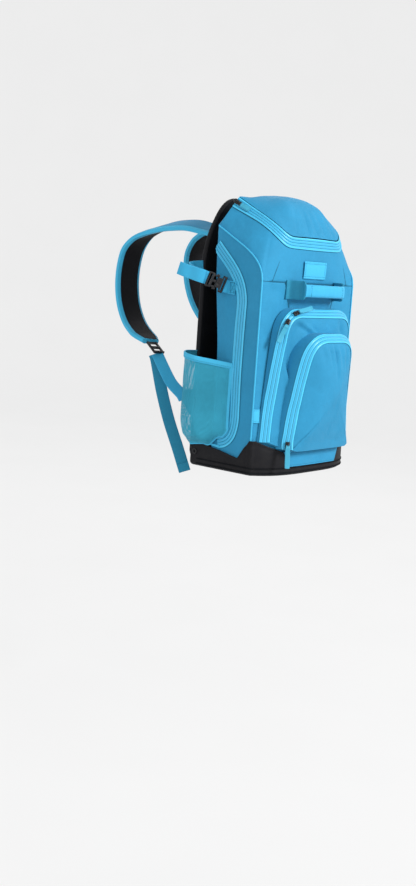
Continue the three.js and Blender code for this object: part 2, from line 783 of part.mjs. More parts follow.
// Rows of the pocket by share of its height, with how far it stands out at each
const pocketRows = [
  { up: 0, bulge: 0.04 }, { up: 0.05, bulge: 0.5 }, { up: 0.13, bulge: 0.86 }, { up: 0.3, bulge: 1 },
  { up: 0.62, bulge: 1 }, { up: 1, bulge: 1 },
];
const hemZ = (y) => mix(hemFrontZ, hemRearZ, clamp01(1 + y / pocketFrontDepth));

function pocketRow(up, bulge) {
  return pocketPlan(bulge).map((p) => {
    const foot = bootSideEdge(Math.max(-p.y, 0)) + 1;
    return p.setZ(mix(foot, hemZ(p.y), up));
  });
}

const meshPocket = () => cloth(pocketRows.map(({ up, bulge }) => pocketRow(up, bulge)), meshWall);

function meshHem() {
  const top = pocketRow(1, 1);
  const rows = [-hemWidth, 0].map((drop) => top.map((p) => p.clone().setZ(p.z + drop)));
  return cloth(offsetRows(rows, gap + webThick), webThick);
}

// Bat strap: a short sewn piece, the buckle, then the webbing round the bats to the back
// panel's edge, and its free tail outside it
const strapFacing = at(0, 0, 1);

function batStrapPlaces() {
  const reach = batRadius + 5;
  const rise = (share) => mix(batStrapFrontZ, batStrapRearZ, share);
  const round = (degrees, share, extra = 0) => {
    const angle = degrees * Math.PI / 180;
    return at(-batReach + (reach + extra) * Math.cos(angle), -batDepth + (reach + extra) * Math.sin(angle), rise(share));
  };
  const sewnDepth = batSewnDepth;
  const sewn = onSide(sewnDepth, rise(0), gap * 6 + webThick);
  const buckleFront = at(sewn.x - 9, sewn.y + 8, rise(0.08));
  const buckleRear = round(222, 0.42);
  return { sewn, sewnEnd: onSide(sewnDepth - 3, rise(0), gap * 6 + webThick), buckleFront, buckleRear, round, rise };
}

// Points a little inside each end of a stretch
function between(from, to, start, end) {
  const along = to.clone().sub(from).normalize();
  return [from.clone().addScaledVector(along, start), to.clone().addScaledVector(along, -end)];
}

function batStrapAnchor() {
  const { sewn, sewnEnd, buckleFront } = batStrapPlaces();
  const [, end] = between(sewnEnd, buckleFront, 0, buckleThick / 7);
  return sweep([sewn, sewnEnd, end], strapFacing, flatSection(batStrapWidth, webThick));
}

function batStrapLoop() {
  const { buckleRear, round, rise } = batStrapPlaces();
  const rear = at(-panelHalf - gap * 6, pocketRearY, rise(1));
  const points = [buckleRear, round(200, 0.55), round(175, 0.66), round(150, 0.76), round(120, 0.86), round(92, 0.93), rear];
  const start = between(points[0], points[1], gap * 5, 0)[0];
  return sweep([start, ...points.slice(1)], strapFacing, flatSection(batStrapWidth, webThick));
}

function batStrapTail() {
  const { buckleRear, round } = batStrapPlaces();
  const away = at(-0.42, 0.86, 0.26).normalize();
  const start = round(214, 0.46, webThick + gap * 2);
  const path = [0, 0.35, 0.7, 1].map((share) => start.clone().addScaledVector(away, share * batTailLength)
    .add(at(-3 * Math.sin(Math.PI * share), 0, 0)));
  return sweep(path, strapFacing, flatSection(batStrapWidth, webThick));
}

// A block whose length runs from one point towards another
function block(from, to, width, thick, facing) {
  const section = [[-width / 2, -thick / 2], [width / 2, -thick / 2], [width / 2, thick / 2], [-width / 2, thick / 2]];
  return sweep([from, to], facing, section);
}

function buckleHalf(start, end, width) {
  const { buckleFront, buckleRear } = batStrapPlaces();
  const inner = buckleFront.clone().lerp(buckleRear, start);
  const outer = buckleFront.clone().lerp(buckleRear, end);
  const section = padSection(width, buckleThick).map(([u, v]) => [u, v - buckleThick / 2]);
  return sweep(between(inner, outer, gap / 2, gap / 2), strapFacing, section);
}

// Haul handle

const handleY = (x) => bodyFrontY(x, handleZ) - gap;

function haulLeg() {
  const foot = handleY(-handleHalf) - webThick;
  const stand = foot - handleStand;
  const path = [
    at(-handleHalf - 8, foot, handleZ), at(-handleHalf, foot, handleZ),
    at(mix(-handleHalf, -gripHalf, 0.45), mix(foot, stand, 0.4), handleZ),
    at(mix(-handleHalf, -gripHalf, 0.8), mix(foot, stand, 0.85), handleZ), at(-gripHalf - 3, stand - 1, handleZ),
  ];
  return sweep(path, at(0, 0, -1), flatSection(handleWidth, webThick));
}

function haulGrip() {
  const stand = handleY(-handleHalf) - webThick - handleStand - 2;
  const path = [-1, -0.5, 0, 0.5, 1].map((share) => at(share * gripHalf, stand - 4 * (1 - share * share), handleZ));
  const section = padSection(gripHeight, gripThick).map(([u, v]) => [u, v - gripThick / 2]);
  return sweep(path, at(0, 0, 1), section);
}

// Bare patch between the lid zipper and the handle, and bare band on the boot's front

function upperFrontY(x, z) {
  const share = (z - seamFrontZ) / (zipFrontZ - seamFrontZ);
  const seamY = bodyFrontY(x, seamFrontZ);
  return mix(seamY, bodyFrontY(x, zipFrontZ), share) - shoulderBulge * Math.sin(Math.PI * share);
}

function frontPatch(columns, levels, halfAt, surfaceY, thick) {
  const rows = levels.map((z) => Array.from({ length: columns + 1 }, (_, k) => {
    const x = mix(-halfAt(z), halfAt(z), k / columns);
    return at(x, surfaceY(x, z) - gap * 2 - thick, z);
  }));
  return cloth(rows, thick);
}

const labelPatch = () => frontPatch(6, [-0.5, 0, 0.5].map((share) => labelZ + share * labelHeight),
  () => labelWidth / 2, upperFrontY, webThick);

function baseBand() {
  const half = (z) => mix(bandFootHalf, bandTopHalf, (z - bandFootZ) / (bandTopZ - bandFootZ));
  return frontPatch(12, [bandFootZ, (bandFootZ + bandTopZ) / 2, bandTopZ], half, bootFrontY, webThick);
}

// Sliders and webbing pulls

const sliderLong = 14;
const sliderWide = 9;
const sliderHigh = 5;
const pullWide = 10;

function rider(center, along, out) {
  const wide = along.clone().cross(out).normalize();
  const from = center.clone().addScaledVector(along, -sliderLong / 2).addScaledVector(out, sliderHigh / 2);
  const to = center.clone().addScaledVector(along, sliderLong / 2).addScaledVector(out, sliderHigh / 2);
  return block(from, to, sliderWide, sliderHigh, wide);
}

// A pocket zipper's middle line, its direction and its way out, at a share of the arch
function archPlace(pocket, share) {
  const { shoulder, lip } = gussetRows(pocket);
  const place = share * archSteps;
  const k = Math.min(Math.floor(place), archSteps - 1);
  const part = place - k;
  const middle = (n) => shoulder[n].clone().lerp(lip[n], 0.5);
  const center = middle(k).lerp(middle(k + 1), part);
  const along = middle(k + 1).sub(middle(k)).normalize();
  const inward = lip[k].clone().sub(shoulder[k]);
  const out = inward.cross(along).normalize();
  if (out.y > 0) out.negate();
  return { center: center.addScaledVector(out, 5 * gap + tapeThick), along, out };
}

// Shoulder harness

// The strap's outer face by share of its reach in front of the back plane, of its rise
// from the adjuster to the top, and of its way out from its root to the adjuster
const strapRows = [
  { reach: 0, rise: 0.76, across: 0 }, { reach: 0.006, rise: 0.87, across: 0 }, { reach: 0.045, rise: 0.94, across: 0.03 },
  { reach: 0.2, rise: 0.98, across: 0.1 }, { reach: 0.33, rise: 1, across: 0.16 }, { reach: 0.46, rise: 0.997, across: 0.22 },
  { reach: 0.6, rise: 0.98, across: 0.28 }, { reach: 0.77, rise: 0.935, across: 0.33 }, { reach: 0.885, rise: 0.88, across: 0.37 },
  { reach: 0.97, rise: 0.785, across: 0.41 }, { reach: 1, rise: 0.65, across: 0.47 }, { reach: 0.985, rise: 0.49, across: 0.55 },
  { reach: 0.92, rise: 0.33, across: 0.65 }, { reach: 0.8, rise: 0.19, across: 0.77 }, { reach: 0.65, rise: 0.1, across: 0.89 },
  { reach: 0.53, rise: 0.055, across: 0.97 },
];

function strapPath() {
  return strapRows.map(({ reach, rise, across }) => at(
    -mix(strapRoot, adjusterHalf, across), gap * 2 + reach * strapReach, mix(adjusterZ, strapTopZ, rise)));
}

function shoulderStrap() {
  const path = smooth(strapPath(), 26);
  const across = path.map((p, k) => at(1, 0, strapRoll * Math.sin(Math.PI * clamp01(k / 15))));
  return sweep(path, across, padSection(strapWidth, strapThick));
}

// Back panel: a padded board with a narrowing, rounded top
function backPanel() {
  const path = new THREE.Path();
  path.moveTo(panelHalf - 14, panelFootZ);
  path.quadraticCurveTo(panelHalf, panelFootZ, panelHalf, panelFootZ + 14);
  path.lineTo(panelHalf, panelNarrowZ);
  path.quadraticCurveTo(panelHalf - 6, mix(panelNarrowZ, panelNeckZ, 0.6), panelNeckHalf, panelNeckZ);
  path.quadraticCurveTo(mix(panelNeckHalf, panelTopHalf, 0.45), panelTopZ, panelTopHalf, panelTopZ);
  path.lineTo(0, panelTopZ);
  const half = path.getSpacedPoints(22).map((p) => [p.x, p.y]);
  half.unshift([0, panelFootZ]);
  const outline = [...half, ...half.slice(1, -1).reverse().map(([x, z]) => [-x, z])];
  const middleZ = (panelFootZ + panelTopZ) / 2;
  const ring = (y, share) => outline.map(([x, z]) => at(x * share, y, mix(middleZ, z, share)));
  return closedRings([ring(-panelThick, 0.9), ring(-panelThick, 0.975), ring(-panelThick * 0.7, 1),
    ring(-panelThick * 0.35, 1), ring(0, 0.96), ring(0, 0.5)]);
}

// Straps below the adjuster

const adjusterLong = 34;
const adjusterHigh = 30;
const adjusterThick = 4;
const adjusterBar = 5;

// Where the padded strap ends, with the way it runs on
function strapEnd() {
  const path = strapPath();
  const end = path[path.length - 1];
  return { end, along: end.clone().sub(path[path.length - 2]).normalize() };
}

// A frame with three bars, lying on the way from the padded strap's end to the lower webbing
function adjusterFrame() {
  const { end } = strapEnd();
  const half = adjusterHigh / 2;
  const shape = new THREE.Shape();
  shape.moveTo(0, -half);
  shape.lineTo(adjusterLong, -half * 0.9);
  shape.lineTo(adjusterLong, half * 0.9);
  shape.lineTo(0, half);
  shape.closePath();
  const slot = (adjusterLong - 3 * adjusterBar) / 2;
  for (const [start, reach] of [[adjusterBar, half - adjusterBar], [2 * adjusterBar + slot, half * 0.6]]) {
    const hole = new THREE.Path();
    hole.moveTo(start, -reach);
    hole.lineTo(start, reach);
    hole.lineTo(start + slot, reach);
    hole.lineTo(start + slot, -reach);
    hole.closePath();
    shape.holes.push(hole);
  }
  const geometry = new THREE.ExtrudeGeometry(shape, { depth: adjusterThick, bevelEnabled: false });
  const to = webTop();
  const along = to.clone().sub(end).normalize();
  const wide = at(1, 0, 0).addScaledVector(along, -along.x).normalize();
  const out = along.clone().cross(wide);
  geometry.applyMatrix4(new THREE.Matrix4().makeBasis(along, wide, out));
  const start = end.clone().addScaledVector(along, gap * 4).addScaledVector(out, strapThick * 0.35);
  geometry.translate(start.x, start.y, start.z);
  const position = geometry.getAttribute('position');
  const points = Array.from({ length: position.count }, (_, k) => at(0, 0, 0).fromBufferAttribute(position, k));
  const faces = Array.from({ length: position.count / 3 }, (_, k) => [3 * k, 3 * k + 1, 3 * k + 2]);
  return solid(points, faces);
}

// The lower webbing's end just under the adjuster, one run nearer the back than the padded strap's end
const webTop = () => at(-adjusterHalf, strapEnd().end.y - adjusterRun, adjusterZ - 6.2);

// The tab is a cloth triangle sewn to the body's rear edge, low on the side
const tabReach = 24;
const tabRoot = () => at(-panelHalf - gap - webThick, gap * 2, tabZ);
const tabTip = () => tabRoot().add(at(-3, tabReach * 0.9, tabReach * 0.45));

function lowerTab() {
  const root = tabRoot();
  const tip = tabTip();
  const rows = [root.clone().setY(-panelThick * 0.35), root, root.clone().lerp(tip, 0.5), tip];
  const halves = [30, 28, 20, lowerWebWidth / 2 + 1];
  const sheet = rows.map((p, k) => [-1, 0, 1].map((side) => at(p.x, p.y, p.z + side * halves[k])));
  return cloth(sheet, webThick);
}

function lowerWebbing() {
  const tip = tabTip();
  const top = webTop();
  const away = top.clone().sub(tip).normalize();
  const start = tip.clone().addScaledVector(away, gap * 8);
  const path = smooth([start, start.clone().lerp(top, 0.35).add(at(-2, 3, -5)),
    start.clone().lerp(top, 0.7).add(at(-1, 2, -3)), top], 7);
  return sweep(path, at(0.75, -0.3, 0.5), flatSection(lowerWebWidth, webThick));
}

// The webbing's free tail hangs from the adjuster past the boot
const tailRows = [
  { down: 0, back: 0 }, { down: 0.3, back: 0.23 }, { down: 0.56, back: 0.48 }, { down: 0.8, back: 0.77 },
  { down: 1, back: 1 },
];

function webbingTail() {
  const top = webTop().add(at(0, 6, -6));
  const endY = 8;
  const path = smooth(tailRows.map(({ down, back }) => at(
    top.x, mix(top.y, endY, back), mix(top.z, tailEndZ, down))), 12);
  return sweep(path, at(0.64, -0.76, 0), flatSection(lowerWebWidth, webThick));
}

// Small ring set in the boot's side
function bootEyelet() {
  const profile = [[3, 0], [6, 0], [6, 0.8], [5, 1.5], [3.6, 1.5], [3, 0.8], [3, 0]];
  const ring = new THREE.LatheGeometry(profile.map(([r, h]) => new THREE.Vector2(r, h)), 12);
  ring.rotateZ(Math.PI / 2);
  ring.translate(bootSideX - gap, -0.16 * bodyDepth, bootRearZ - 10);
  const position = ring.getAttribute('position');
  const points = Array.from({ length: position.count }, (_, k) => at(0, 0, 0).fromBufferAttribute(position, k));
  const index = Array.from(ring.getIndex().array);
  return solid(points, Array.from({ length: index.length / 3 }, (_, k) => index.slice(3 * k, 3 * k + 3)));
}

// Sliders on the lid zipper's rear ends, their pulls lying along the zipper
function lidPlace(share) {
  const center = zipLine(share);
  const along = zipLine(share + 0.03).sub(center).normalize();
  const up = center.clone().sub(at(-bodyHalf, center.y, seamZ(-center.y)));
  const out = up.cross(along).normalize();
  if (out.x > 0) out.negate();
  return { center: center.addScaledVector(out, 2 * gap), along, out };
}

function lidSlider() {
  const { center, along, out } = lidPlace(0.05);
  return rider(center, along, out);
}

function lidPull() {
  const path = [0.115, 0.16, 0.21, 0.27].map((share) => {
    const { center, out } = lidPlace(share);
    return center.addScaledVector(out, gap / 2);
  });
  const { along, out } = lidPlace(0.15);
  const across = out.clone().cross(along);
  const section = flatSection(pullWide, webThick);
  return sweep(path, across, section);
}

function pocketSlider(pocket, share) {
  const { center, along, out } = archPlace(pocket, share);
  return rider(center, along, out);
}

// A pull from a pocket's slider: a webbing strip that starts at the slider and lies at its own
// turn down the front, raised clear of what it passes over
function pocketPull(pocket, share, turn, length, lift) {
  const { center, along, out } = archPlace(pocket, share);
  const way = along.clone().applyAxisAngle(out, turn).normalize();
  const start = center.clone().addScaledVector(out, sliderHigh + lift);
  const path = [0, 0.33, 0.66, 1].map((step) => start.clone().addScaledVector(way, step * length));
  const across = out.clone().cross(way);
  return sweep(path, across, flatSection(pullWide, webThick));
}

const finish = {
  cloth: new THREE.MeshStandardMaterial({ color: turquoise, roughness: 0.85, metalness: 0 }),
  tape: new THREE.MeshStandardMaterial({ color: brightTurquoise, roughness: 0.75, metalness: 0 }),
  black: new THREE.MeshStandardMaterial({ color: black, roughness: 0.7, metalness: 0 }),
};
const part = new THREE.Group();

function place(name, geometry, material) {
  const mesh = new THREE.Mesh(geometry, material.clone());
  mesh.name = name;
  part.add(mesh);
}

// A left piece and its mirrored right one
function placePair(name, geometry, material) {
  place(`${name}_left`, geometry, material);
  place(`${name}_right`, mirrored(geometry), material);
}

place('main_shell', mainShell(), finish.cloth);
place('lid_dome', lidDome(), finish.cloth);
place('lid_zipper', lidZipper(), finish.tape);
place('base_boot', baseBoot(), finish.black);
place('back_panel', backPanel(), finish.cloth);
place('upper_pocket', pocketShell(upperPocket), finish.cloth);
place('upper_pocket_zipper', pocketZipper(upperPocket), finish.tape);
place('lower_pocket', pocketShell(lowerPocket), finish.cloth);
place('lower_pocket_zipper', pocketZipper(lowerPocket), finish.tape);
place('haul_grip', haulGrip(), finish.cloth);
place('label_patch', labelPatch(), finish.tape);
place('base_band', baseBand(), finish.tape);
place('side_tag', sideTag(), finish.tape);
placePair('haul_leg', haulLeg(), finish.tape);
placePair('side_zipper', sideZipper(), finish.tape);
placePair('side_piping', sidePiping(), finish.tape);
placePair('mesh_pocket', meshPocket(), finish.tape);
placePair('mesh_hem', meshHem(), finish.tape);
placePair('bat_strap_anchor', batStrapAnchor(), finish.tape);
placePair('bat_strap_loop', batStrapLoop(), finish.tape);
placePair('bat_strap_tail', batStrapTail(), finish.tape);
placePair('bat_buckle_socket', buckleHalf(0, 0.5, buckleWidth), finish.black);
placePair('bat_buckle_plug', buckleHalf(0.5, 1, buckleWidth - 4), finish.black);
placePair('shoulder_strap', shoulderStrap(), finish.cloth);

placePair('adjuster', adjusterFrame(), finish.black);
placePair('lower_tab', lowerTab(), finish.cloth);
placePair('lower_webbing', lowerWebbing(), finish.tape);
placePair('webbing_tail', webbingTail(), finish.tape);
placePair('boot_eyelet', bootEyelet(), finish.black);
placePair('lid_slider', lidSlider(), finish.black);
placePair('lid_pull', lidPull(), finish.tape);
place('upper_slider_one', pocketSlider(upperPocket, 0.34), finish.black);
place('upper_slider_two', pocketSlider(upperPocket, 0.382), finish.black);
place('upper_pull_one', pocketPull(upperPocket, 0.33, Math.PI * 0.97, 38, gap), finish.tape);
place('upper_pull_two', pocketPull(upperPocket, 0.39, 0, 38, gap * 3), finish.tape);
place('lower_slider', pocketSlider(lowerPocket, 0.015), finish.black);
place('lower_pull', pocketPull(lowerPocket, 0.01, Math.PI, 44, gap), finish.tape);

// The frame's origin is the mount where the harness sits on the shoulders
const root = new THREE.Group();
part.position.set(0, -mountDepth, strapThick - strapTopZ);
root.add(part);

export default root;
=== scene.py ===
import math
from bisect import bisect_right

import bpy
import numpy as np
from mathutils import Matrix, Vector, noise


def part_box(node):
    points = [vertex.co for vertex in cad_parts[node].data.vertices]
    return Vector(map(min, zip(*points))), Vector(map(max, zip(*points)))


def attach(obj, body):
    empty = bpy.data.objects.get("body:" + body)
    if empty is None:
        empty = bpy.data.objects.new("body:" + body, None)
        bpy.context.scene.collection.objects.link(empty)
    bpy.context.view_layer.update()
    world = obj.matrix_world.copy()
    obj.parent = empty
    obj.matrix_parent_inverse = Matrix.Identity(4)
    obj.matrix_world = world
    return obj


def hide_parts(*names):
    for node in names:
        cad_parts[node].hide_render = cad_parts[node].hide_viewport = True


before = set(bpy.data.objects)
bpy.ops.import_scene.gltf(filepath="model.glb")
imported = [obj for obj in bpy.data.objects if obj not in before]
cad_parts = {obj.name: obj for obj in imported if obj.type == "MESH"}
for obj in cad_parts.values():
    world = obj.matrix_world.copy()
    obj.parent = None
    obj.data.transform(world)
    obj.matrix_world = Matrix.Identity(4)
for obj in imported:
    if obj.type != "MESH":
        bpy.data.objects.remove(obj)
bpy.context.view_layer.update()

bl_info = {
    "name": "Baseball bat backpack",
    "version": (1, 0, 0),
    "blender": (4, 5, 0),
    "location": "3D View > Sidebar > Bat Backpack",
    "description": "Dresses the packed bat backpack in cloth, zippers, webbing, mesh and moulded parts",
    "category": "Add Mesh",
}

# The bag is laid out in millimetres: X across the back, Y towards the wearer from the back
# panel's face, Z up from the underside. These put it in the frame.
MM = 0.001
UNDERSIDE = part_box("base_boot")[0].z
BACK_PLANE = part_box("back_panel")[1].y
ORIGIN = np.array([0.0, BACK_PLANE, UNDERSIDE])
INSIDE = (0.0, -90.0, 260.0)

# Body
BODY_HALF = 160.0
BODY_DEPTH = 168.0
SIDE_BELLY = 4.0
PANEL_THICK = 12.0
CHANNEL_HALF = 80.0
CHANNEL_DEPTH = 64.0
CHANNEL_TOP_DEPTH = 45.0
BACK_FACE = 15.1
BODY_FLOOR = 6.0
SEAM_REAR = 494.0
SEAM_FRONT = 388.0
SEAM_SLOPE = 0.56
SEAM_ROUND = 56.0
SHOULDER_BULGE = 1.5

# Lid
ZIP_REAR_HALF = 129.0
ZIP_REAR_DEPTH = 60.0
ZIP_REAR = 541.0
ZIP_SIDE_HALF = 118.0
ZIP_SIDE_DEPTH = 124.0
ZIP_SIDE = 510.0
ZIP_FRONT_HALF = 90.0
ZIP_FRONT = 467.0
ZIP_KNEE = 487.0
LID_TOP = 562.0
LID_RIDGE_DEPTH = 92.0
LID_RIDGE_SHARE = 0.12
LID_FULLNESS = 2.1
LID_ZIP_WIDTH = 24.0

# Boot
BOOT_REAR = 40.0
BOOT_SIDE = 48.0
BOOT_DIP = 32.0
BOOT_CORNER = 71.0
BOOT_FRONT = 46.0
BOOT_ROUND = 8.0
BOOT_SIDE_X = -162.8

# Side zipper, bat pocket and strap
SIDE_ZIP_WIDTH = 25.0
SIDE_ZIP_DEPTH = 124.0
SIDE_ZIP_REAR = 453.0
SIDE_ZIP_SLOPE = 0.96
SIDE_ZIP_FOOT = 57.0
PIPING_RADIUS = 1.6
BAT_REACH = 174.0
BAT_DEPTH = 38.0
BAT_RADIUS = 33.0
HEM_FRONT = 221.0
HEM_REAR = 238.0
HEM_WIDTH = 12.0
BAT_STRAP_WIDTH = 26.0
BAT_STRAP_FRONT = 371.0
BAT_STRAP_REAR = 408.0

# Handle and harness
HANDLE_WIDTH = 38.0
HANDLE_HALF = 80.0
HANDLE_STAND = 29.0
HANDLE_Z = 374.0
GRIP_HALF = 66.0
PANEL_HALF = 150.0
PANEL_FOOT = 14.0
PANEL_TOP = 552.0
STRAP_WIDTH = 68.0
STRAP_THICK = 12.0
STRAP_ROOT = 74.0
STRAP_TOP = 499.0
STRAP_REACH = 248.0
ADJUSTER_Z = 222.0
ADJUSTER_HALF = 150.0
ADJUSTER_RUN = 28.0
WEB_WIDTH = 25.0
WEB_THICK = 2.2
TAB_Z = 128.0
TAIL_END = -20.0


def mix(a, b, t):
    return a + (b - a) * t


def clamp01(value):
    return min(max(value, 0.0), 1.0)


def ramp(low, high, value):
    t = clamp01((value - low) / (high - low))
    return t * t * (3 - 2 * t)


def bump(distance, width):
    return math.exp(-((distance / width) ** 2))


def rough(x, y, z):
    return noise.noise(Vector((x, y, z)))


class Curve:
    """A smooth curve through rows of (place, value) that never swings past them."""

    def __init__(self, *rows):
        self.x = [float(row[0]) for row in rows]
        self.y = [float(row[1]) for row in rows]
        rise = [(b - a) / (d - c) for a, b, c, d in zip(self.y, self.y[1:], self.x, self.x[1:])]
        self.slope = [rise[0]]
        for before, after in zip(rise, rise[1:]):
            same = before * after > 0
            self.slope.append(2 * before * after / (before + after) if same else 0.0)
        self.slope.append(rise[-1])

    def __call__(self, where):
        if where <= self.x[0]:
            return self.y[0]
        if where >= self.x[-1]:
            return self.y[-1]
        k = bisect_right(self.x, where) - 1
        span = self.x[k + 1] - self.x[k]
        t = (where - self.x[k]) / span
        return ((2 * t - 3) * t * t + 1) * self.y[k] + ((t - 2) * t + 1) * t * span * self.slope[k] \
            + (3 - 2 * t) * t * t * self.y[k + 1] + (t - 1) * t * t * span * self.slope[k + 1]


def to_segment(x, z, ax, az, bx, bz):
    """How far a place lies from a straight line between two others, and how far along it."""
    dx, dz = bx - ax, bz - az
    share = clamp01(((x - ax) * dx + (z - az) * dz) / (dx * dx + dz * dz))
    return math.hypot(x - ax - share * dx, z - az - share * dz), share


def smooth_path(points, count):
    """A centripetal Catmull-Rom curve through points, cut into equal steps."""
    pts = [np.array(p, float) for p in points]
    pts = [2 * pts[0] - pts[1]] + pts + [2 * pts[-1] - pts[-2]]
    fine = []
    for p0, p1, p2, p3 in zip(pts, pts[1:], pts[2:], pts[3:]):
        t1 = np.linalg.norm(p1 - p0) ** 0.5
        t2 = t1 + np.linalg.norm(p2 - p1) ** 0.5
        t3 = t2 + np.linalg.norm(p3 - p2) ** 0.5
        for k in range(24):
            t = mix(t1, t2, k / 24)
            a1 = (t1 - t) / t1 * p0 + t / t1 * p1
            a2 = (t2 - t) / (t2 - t1) * p1 + (t - t1) / (t2 - t1) * p2
            a3 = (t3 - t) / (t3 - t2) * p2 + (t - t2) / (t3 - t2) * p3
            b1 = (t2 - t) / t2 * a1 + t / t2 * a2
            b2 = (t3 - t) / (t3 - t1) * a2 + (t - t1) / (t3 - t1) * a3
            fine.append((t2 - t) / (t2 - t1) * b1 + (t - t1) / (t2 - t1) * b2)
    fine.append(pts[-2])
    return resampled(fine, count)


def resampled(points, count):
    """The same line in equal steps."""
    pts = np.array(points, float)
    run = np.concatenate([[0], np.cumsum(np.linalg.norm(np.diff(pts, axis=0), axis=1))])
    places = np.linspace(0, run[-1], count + 1)
    return np.stack([np.interp(places, run, pts[:, k]) for k in range(pts.shape[1])], axis=1)


# Shape of the body

crown_at = Curve((0, 37), (45, 36), (80, 25), (140, 14), (250, 9), (388, 9), (467, 8))
square_at = Curve((0, 3.8), (45, 3.8), (80, 3.2), (140, 2.4), (250, 2), (467, 2))


def front_wave(x, z):
    """How far the front cloth swells past its even curve."""
    free = ramp(60, 130, z)
    wave = 1.1 * rough(x * 0.017, z * 0.014, 1.7) + 0.5 * rough(x * 0.05, z * 0.045, 5.1)
    for side in (-1, 1):
        away, share = to_segment(x * side, z, 128, 372, 84, 338)
        wave -= 2.6 * bump(away, 15) * (1 - 0.4 * share)
        away, share = to_segment(x * side, z, 152, 356, 118, 352)
        wave += 1.6 * bump(away, 12)
    return wave * free


def front_y(x, z):
    share = min(abs(x) / BODY_HALF, 1.0)
    crown = crown_at(z) * (1 - share ** square_at(z))
    return -BODY_DEPTH - crown - front_wave(x, z) * (1 - share ** 8)


def channel_at(z):
    return mix(CHANNEL_DEPTH, CHANNEL_TOP_DEPTH, ramp(200, 445, z))


def side_wave(depth, z):
    """How far the side cloth swells past its even curve."""
    free = ramp(60, 120, z) * ramp(0, 10, BODY_DEPTH - depth) * ramp(0, 12, depth - channel_at(z))
    wave = 1.1 * rough(depth * 0.02, z * 0.011, 9.3) + 0.45 * rough(depth * 0.06, z * 0.035, 2.4)
    away, share = to_segment(depth, z, 92, 352, 106, 322)
    wave -= 2.4 * bump(away, 7) * (1 - 0.6 * share)
    away, share = to_segment(depth, z, 76, 348, 84, 300)
    wave += 1.2 * bump(away, 8)
    return wave * free


def side_x(depth, z):
    around = clamp01((depth - CHANNEL_DEPTH) / (BODY_DEPTH - CHANNEL_DEPTH))
    upward = clamp01((z - BOOT_CORNER) / (SEAM_FRONT - BOOT_CORNER))
    belly = SIDE_BELLY * math.sin(math.pi * around) * math.sin(math.pi * upward)
    return -BODY_HALF - belly - side_wave(depth, z)


def seam_z(depth):
    bend = BODY_DEPTH - SEAM_ROUND
    slope = lambda d: SEAM_REAR - SEAM_SLOPE * (d - CHANNEL_TOP_DEPTH)
    if depth <= bend:
        return slope(depth)
    t = 1 - math.sqrt(max(0.0, 1 - (depth - bend) / SEAM_ROUND))
    return (1 - t) ** 2 * slope(bend) + 2 * t * (1 - t) * slope(BODY_DEPTH) + t * t * SEAM_FRONT


def zip_line(share):
    """The lid zipper's middle line on the left, from the channel to the front."""
    rear = np.array([-ZIP_REAR_HALF, -ZIP_REAR_DEPTH - 3, ZIP_REAR])
    side = np.array([-ZIP_SIDE_HALF, -ZIP_SIDE_DEPTH, ZIP_SIDE])
    front = np.array([-ZIP_FRONT_HALF, -BODY_DEPTH - 1, ZIP_FRONT])
    knee = np.array([-ZIP_SIDE_HALF, -BODY_DEPTH - 3, ZIP_KNEE])
    if share <= 0.5:
        return mix(rear, side, share / 0.5)
    t = (share - 0.5) / 0.5
    return side * (1 - t) ** 2 + knee * 2 * t * (1 - t) + front * t * t


side_share = Curve((0.04, 0), (0.22, 1 / 9), (0.42, 2 / 9), (0.61, 3 / 9), (0.78, 4 / 9), (0.92, 5 / 9),
                   (1, 6 / 9))
corner_share = Curve((0, 6 / 9), (0.03, 7 / 9), (0.12, 8 / 9), (0.21, 1))


class Column:
    """One upright line of the body: its points below the seam, on the seam and on the lid zipper."""

    def __init__(self, kind, at, deep=0.0):
        self.kind = kind
        self.at = at
        self.deep = deep
        if kind == "back":
            x = -at * CHANNEL_HALF
            self.seam = np.array([x, -CHANNEL_TOP_DEPTH, SEAM_REAR])
            self.zip = np.array([x * ZIP_REAR_HALF / BODY_HALF, -ZIP_REAR_DEPTH, ZIP_REAR])
        elif kind == "side":
            depth = mix(CHANNEL_TOP_DEPTH, BODY_DEPTH, at)
            self.seam = np.array([side_x(depth, seam_z(depth)), -depth, seam_z(depth)])
            self.zip = zip_line(side_share(at))
        else:
            x = -at * BODY_HALF
            self.seam = np.array([x, front_y(x, SEAM_FRONT), SEAM_FRONT])
            if at > 0.79:
                self.zip = zip_line(corner_share(1 - at))
            else:
                zip_x = -ZIP_FRONT_HALF * at / 0.79
                self.zip = np.array([zip_x, front_y(zip_x, ZIP_FRONT), ZIP_FRONT])
        self.rise = float(np.linalg.norm(self.zip - self.seam))

    def low(self, z):
        if self.kind == "back":
            return np.array([-self.at * CHANNEL_HALF, -mix(BACK_FACE, channel_at(z), self.deep), z])
        if self.kind == "side":
            depth = mix(channel_at(z), BODY_DEPTH, self.at)
            return np.array([side_x(depth, z), -depth, z])
        x = -self.at * BODY_HALF
        return np.array([x, front_y(x, z), z])

    def upper(self, share):
        p = mix(self.seam, self.zip, share)
        if self.kind == "back":
            return p
        out = np.array([p[0], p[1] + ZIP_REAR_DEPTH, 0.0])
        out /= np.linalg.norm(out)
        inner = math.sin(math.pi * clamp01(share))
        swell = SHOULDER_BULGE + 1.2 * rough(p[0] * 0.02, p[1] * 0.02, p[2] * 0.02 + 4)
        return p + out * swell * inner

    def by_zip(self, distance, rear_distance=0.0):
        """A point at a distance over the zipper's middle line, measured up the panel."""
        gap = rear_distance if self.kind == "back" else distance
        return self.upper(1 + gap / self.rise)


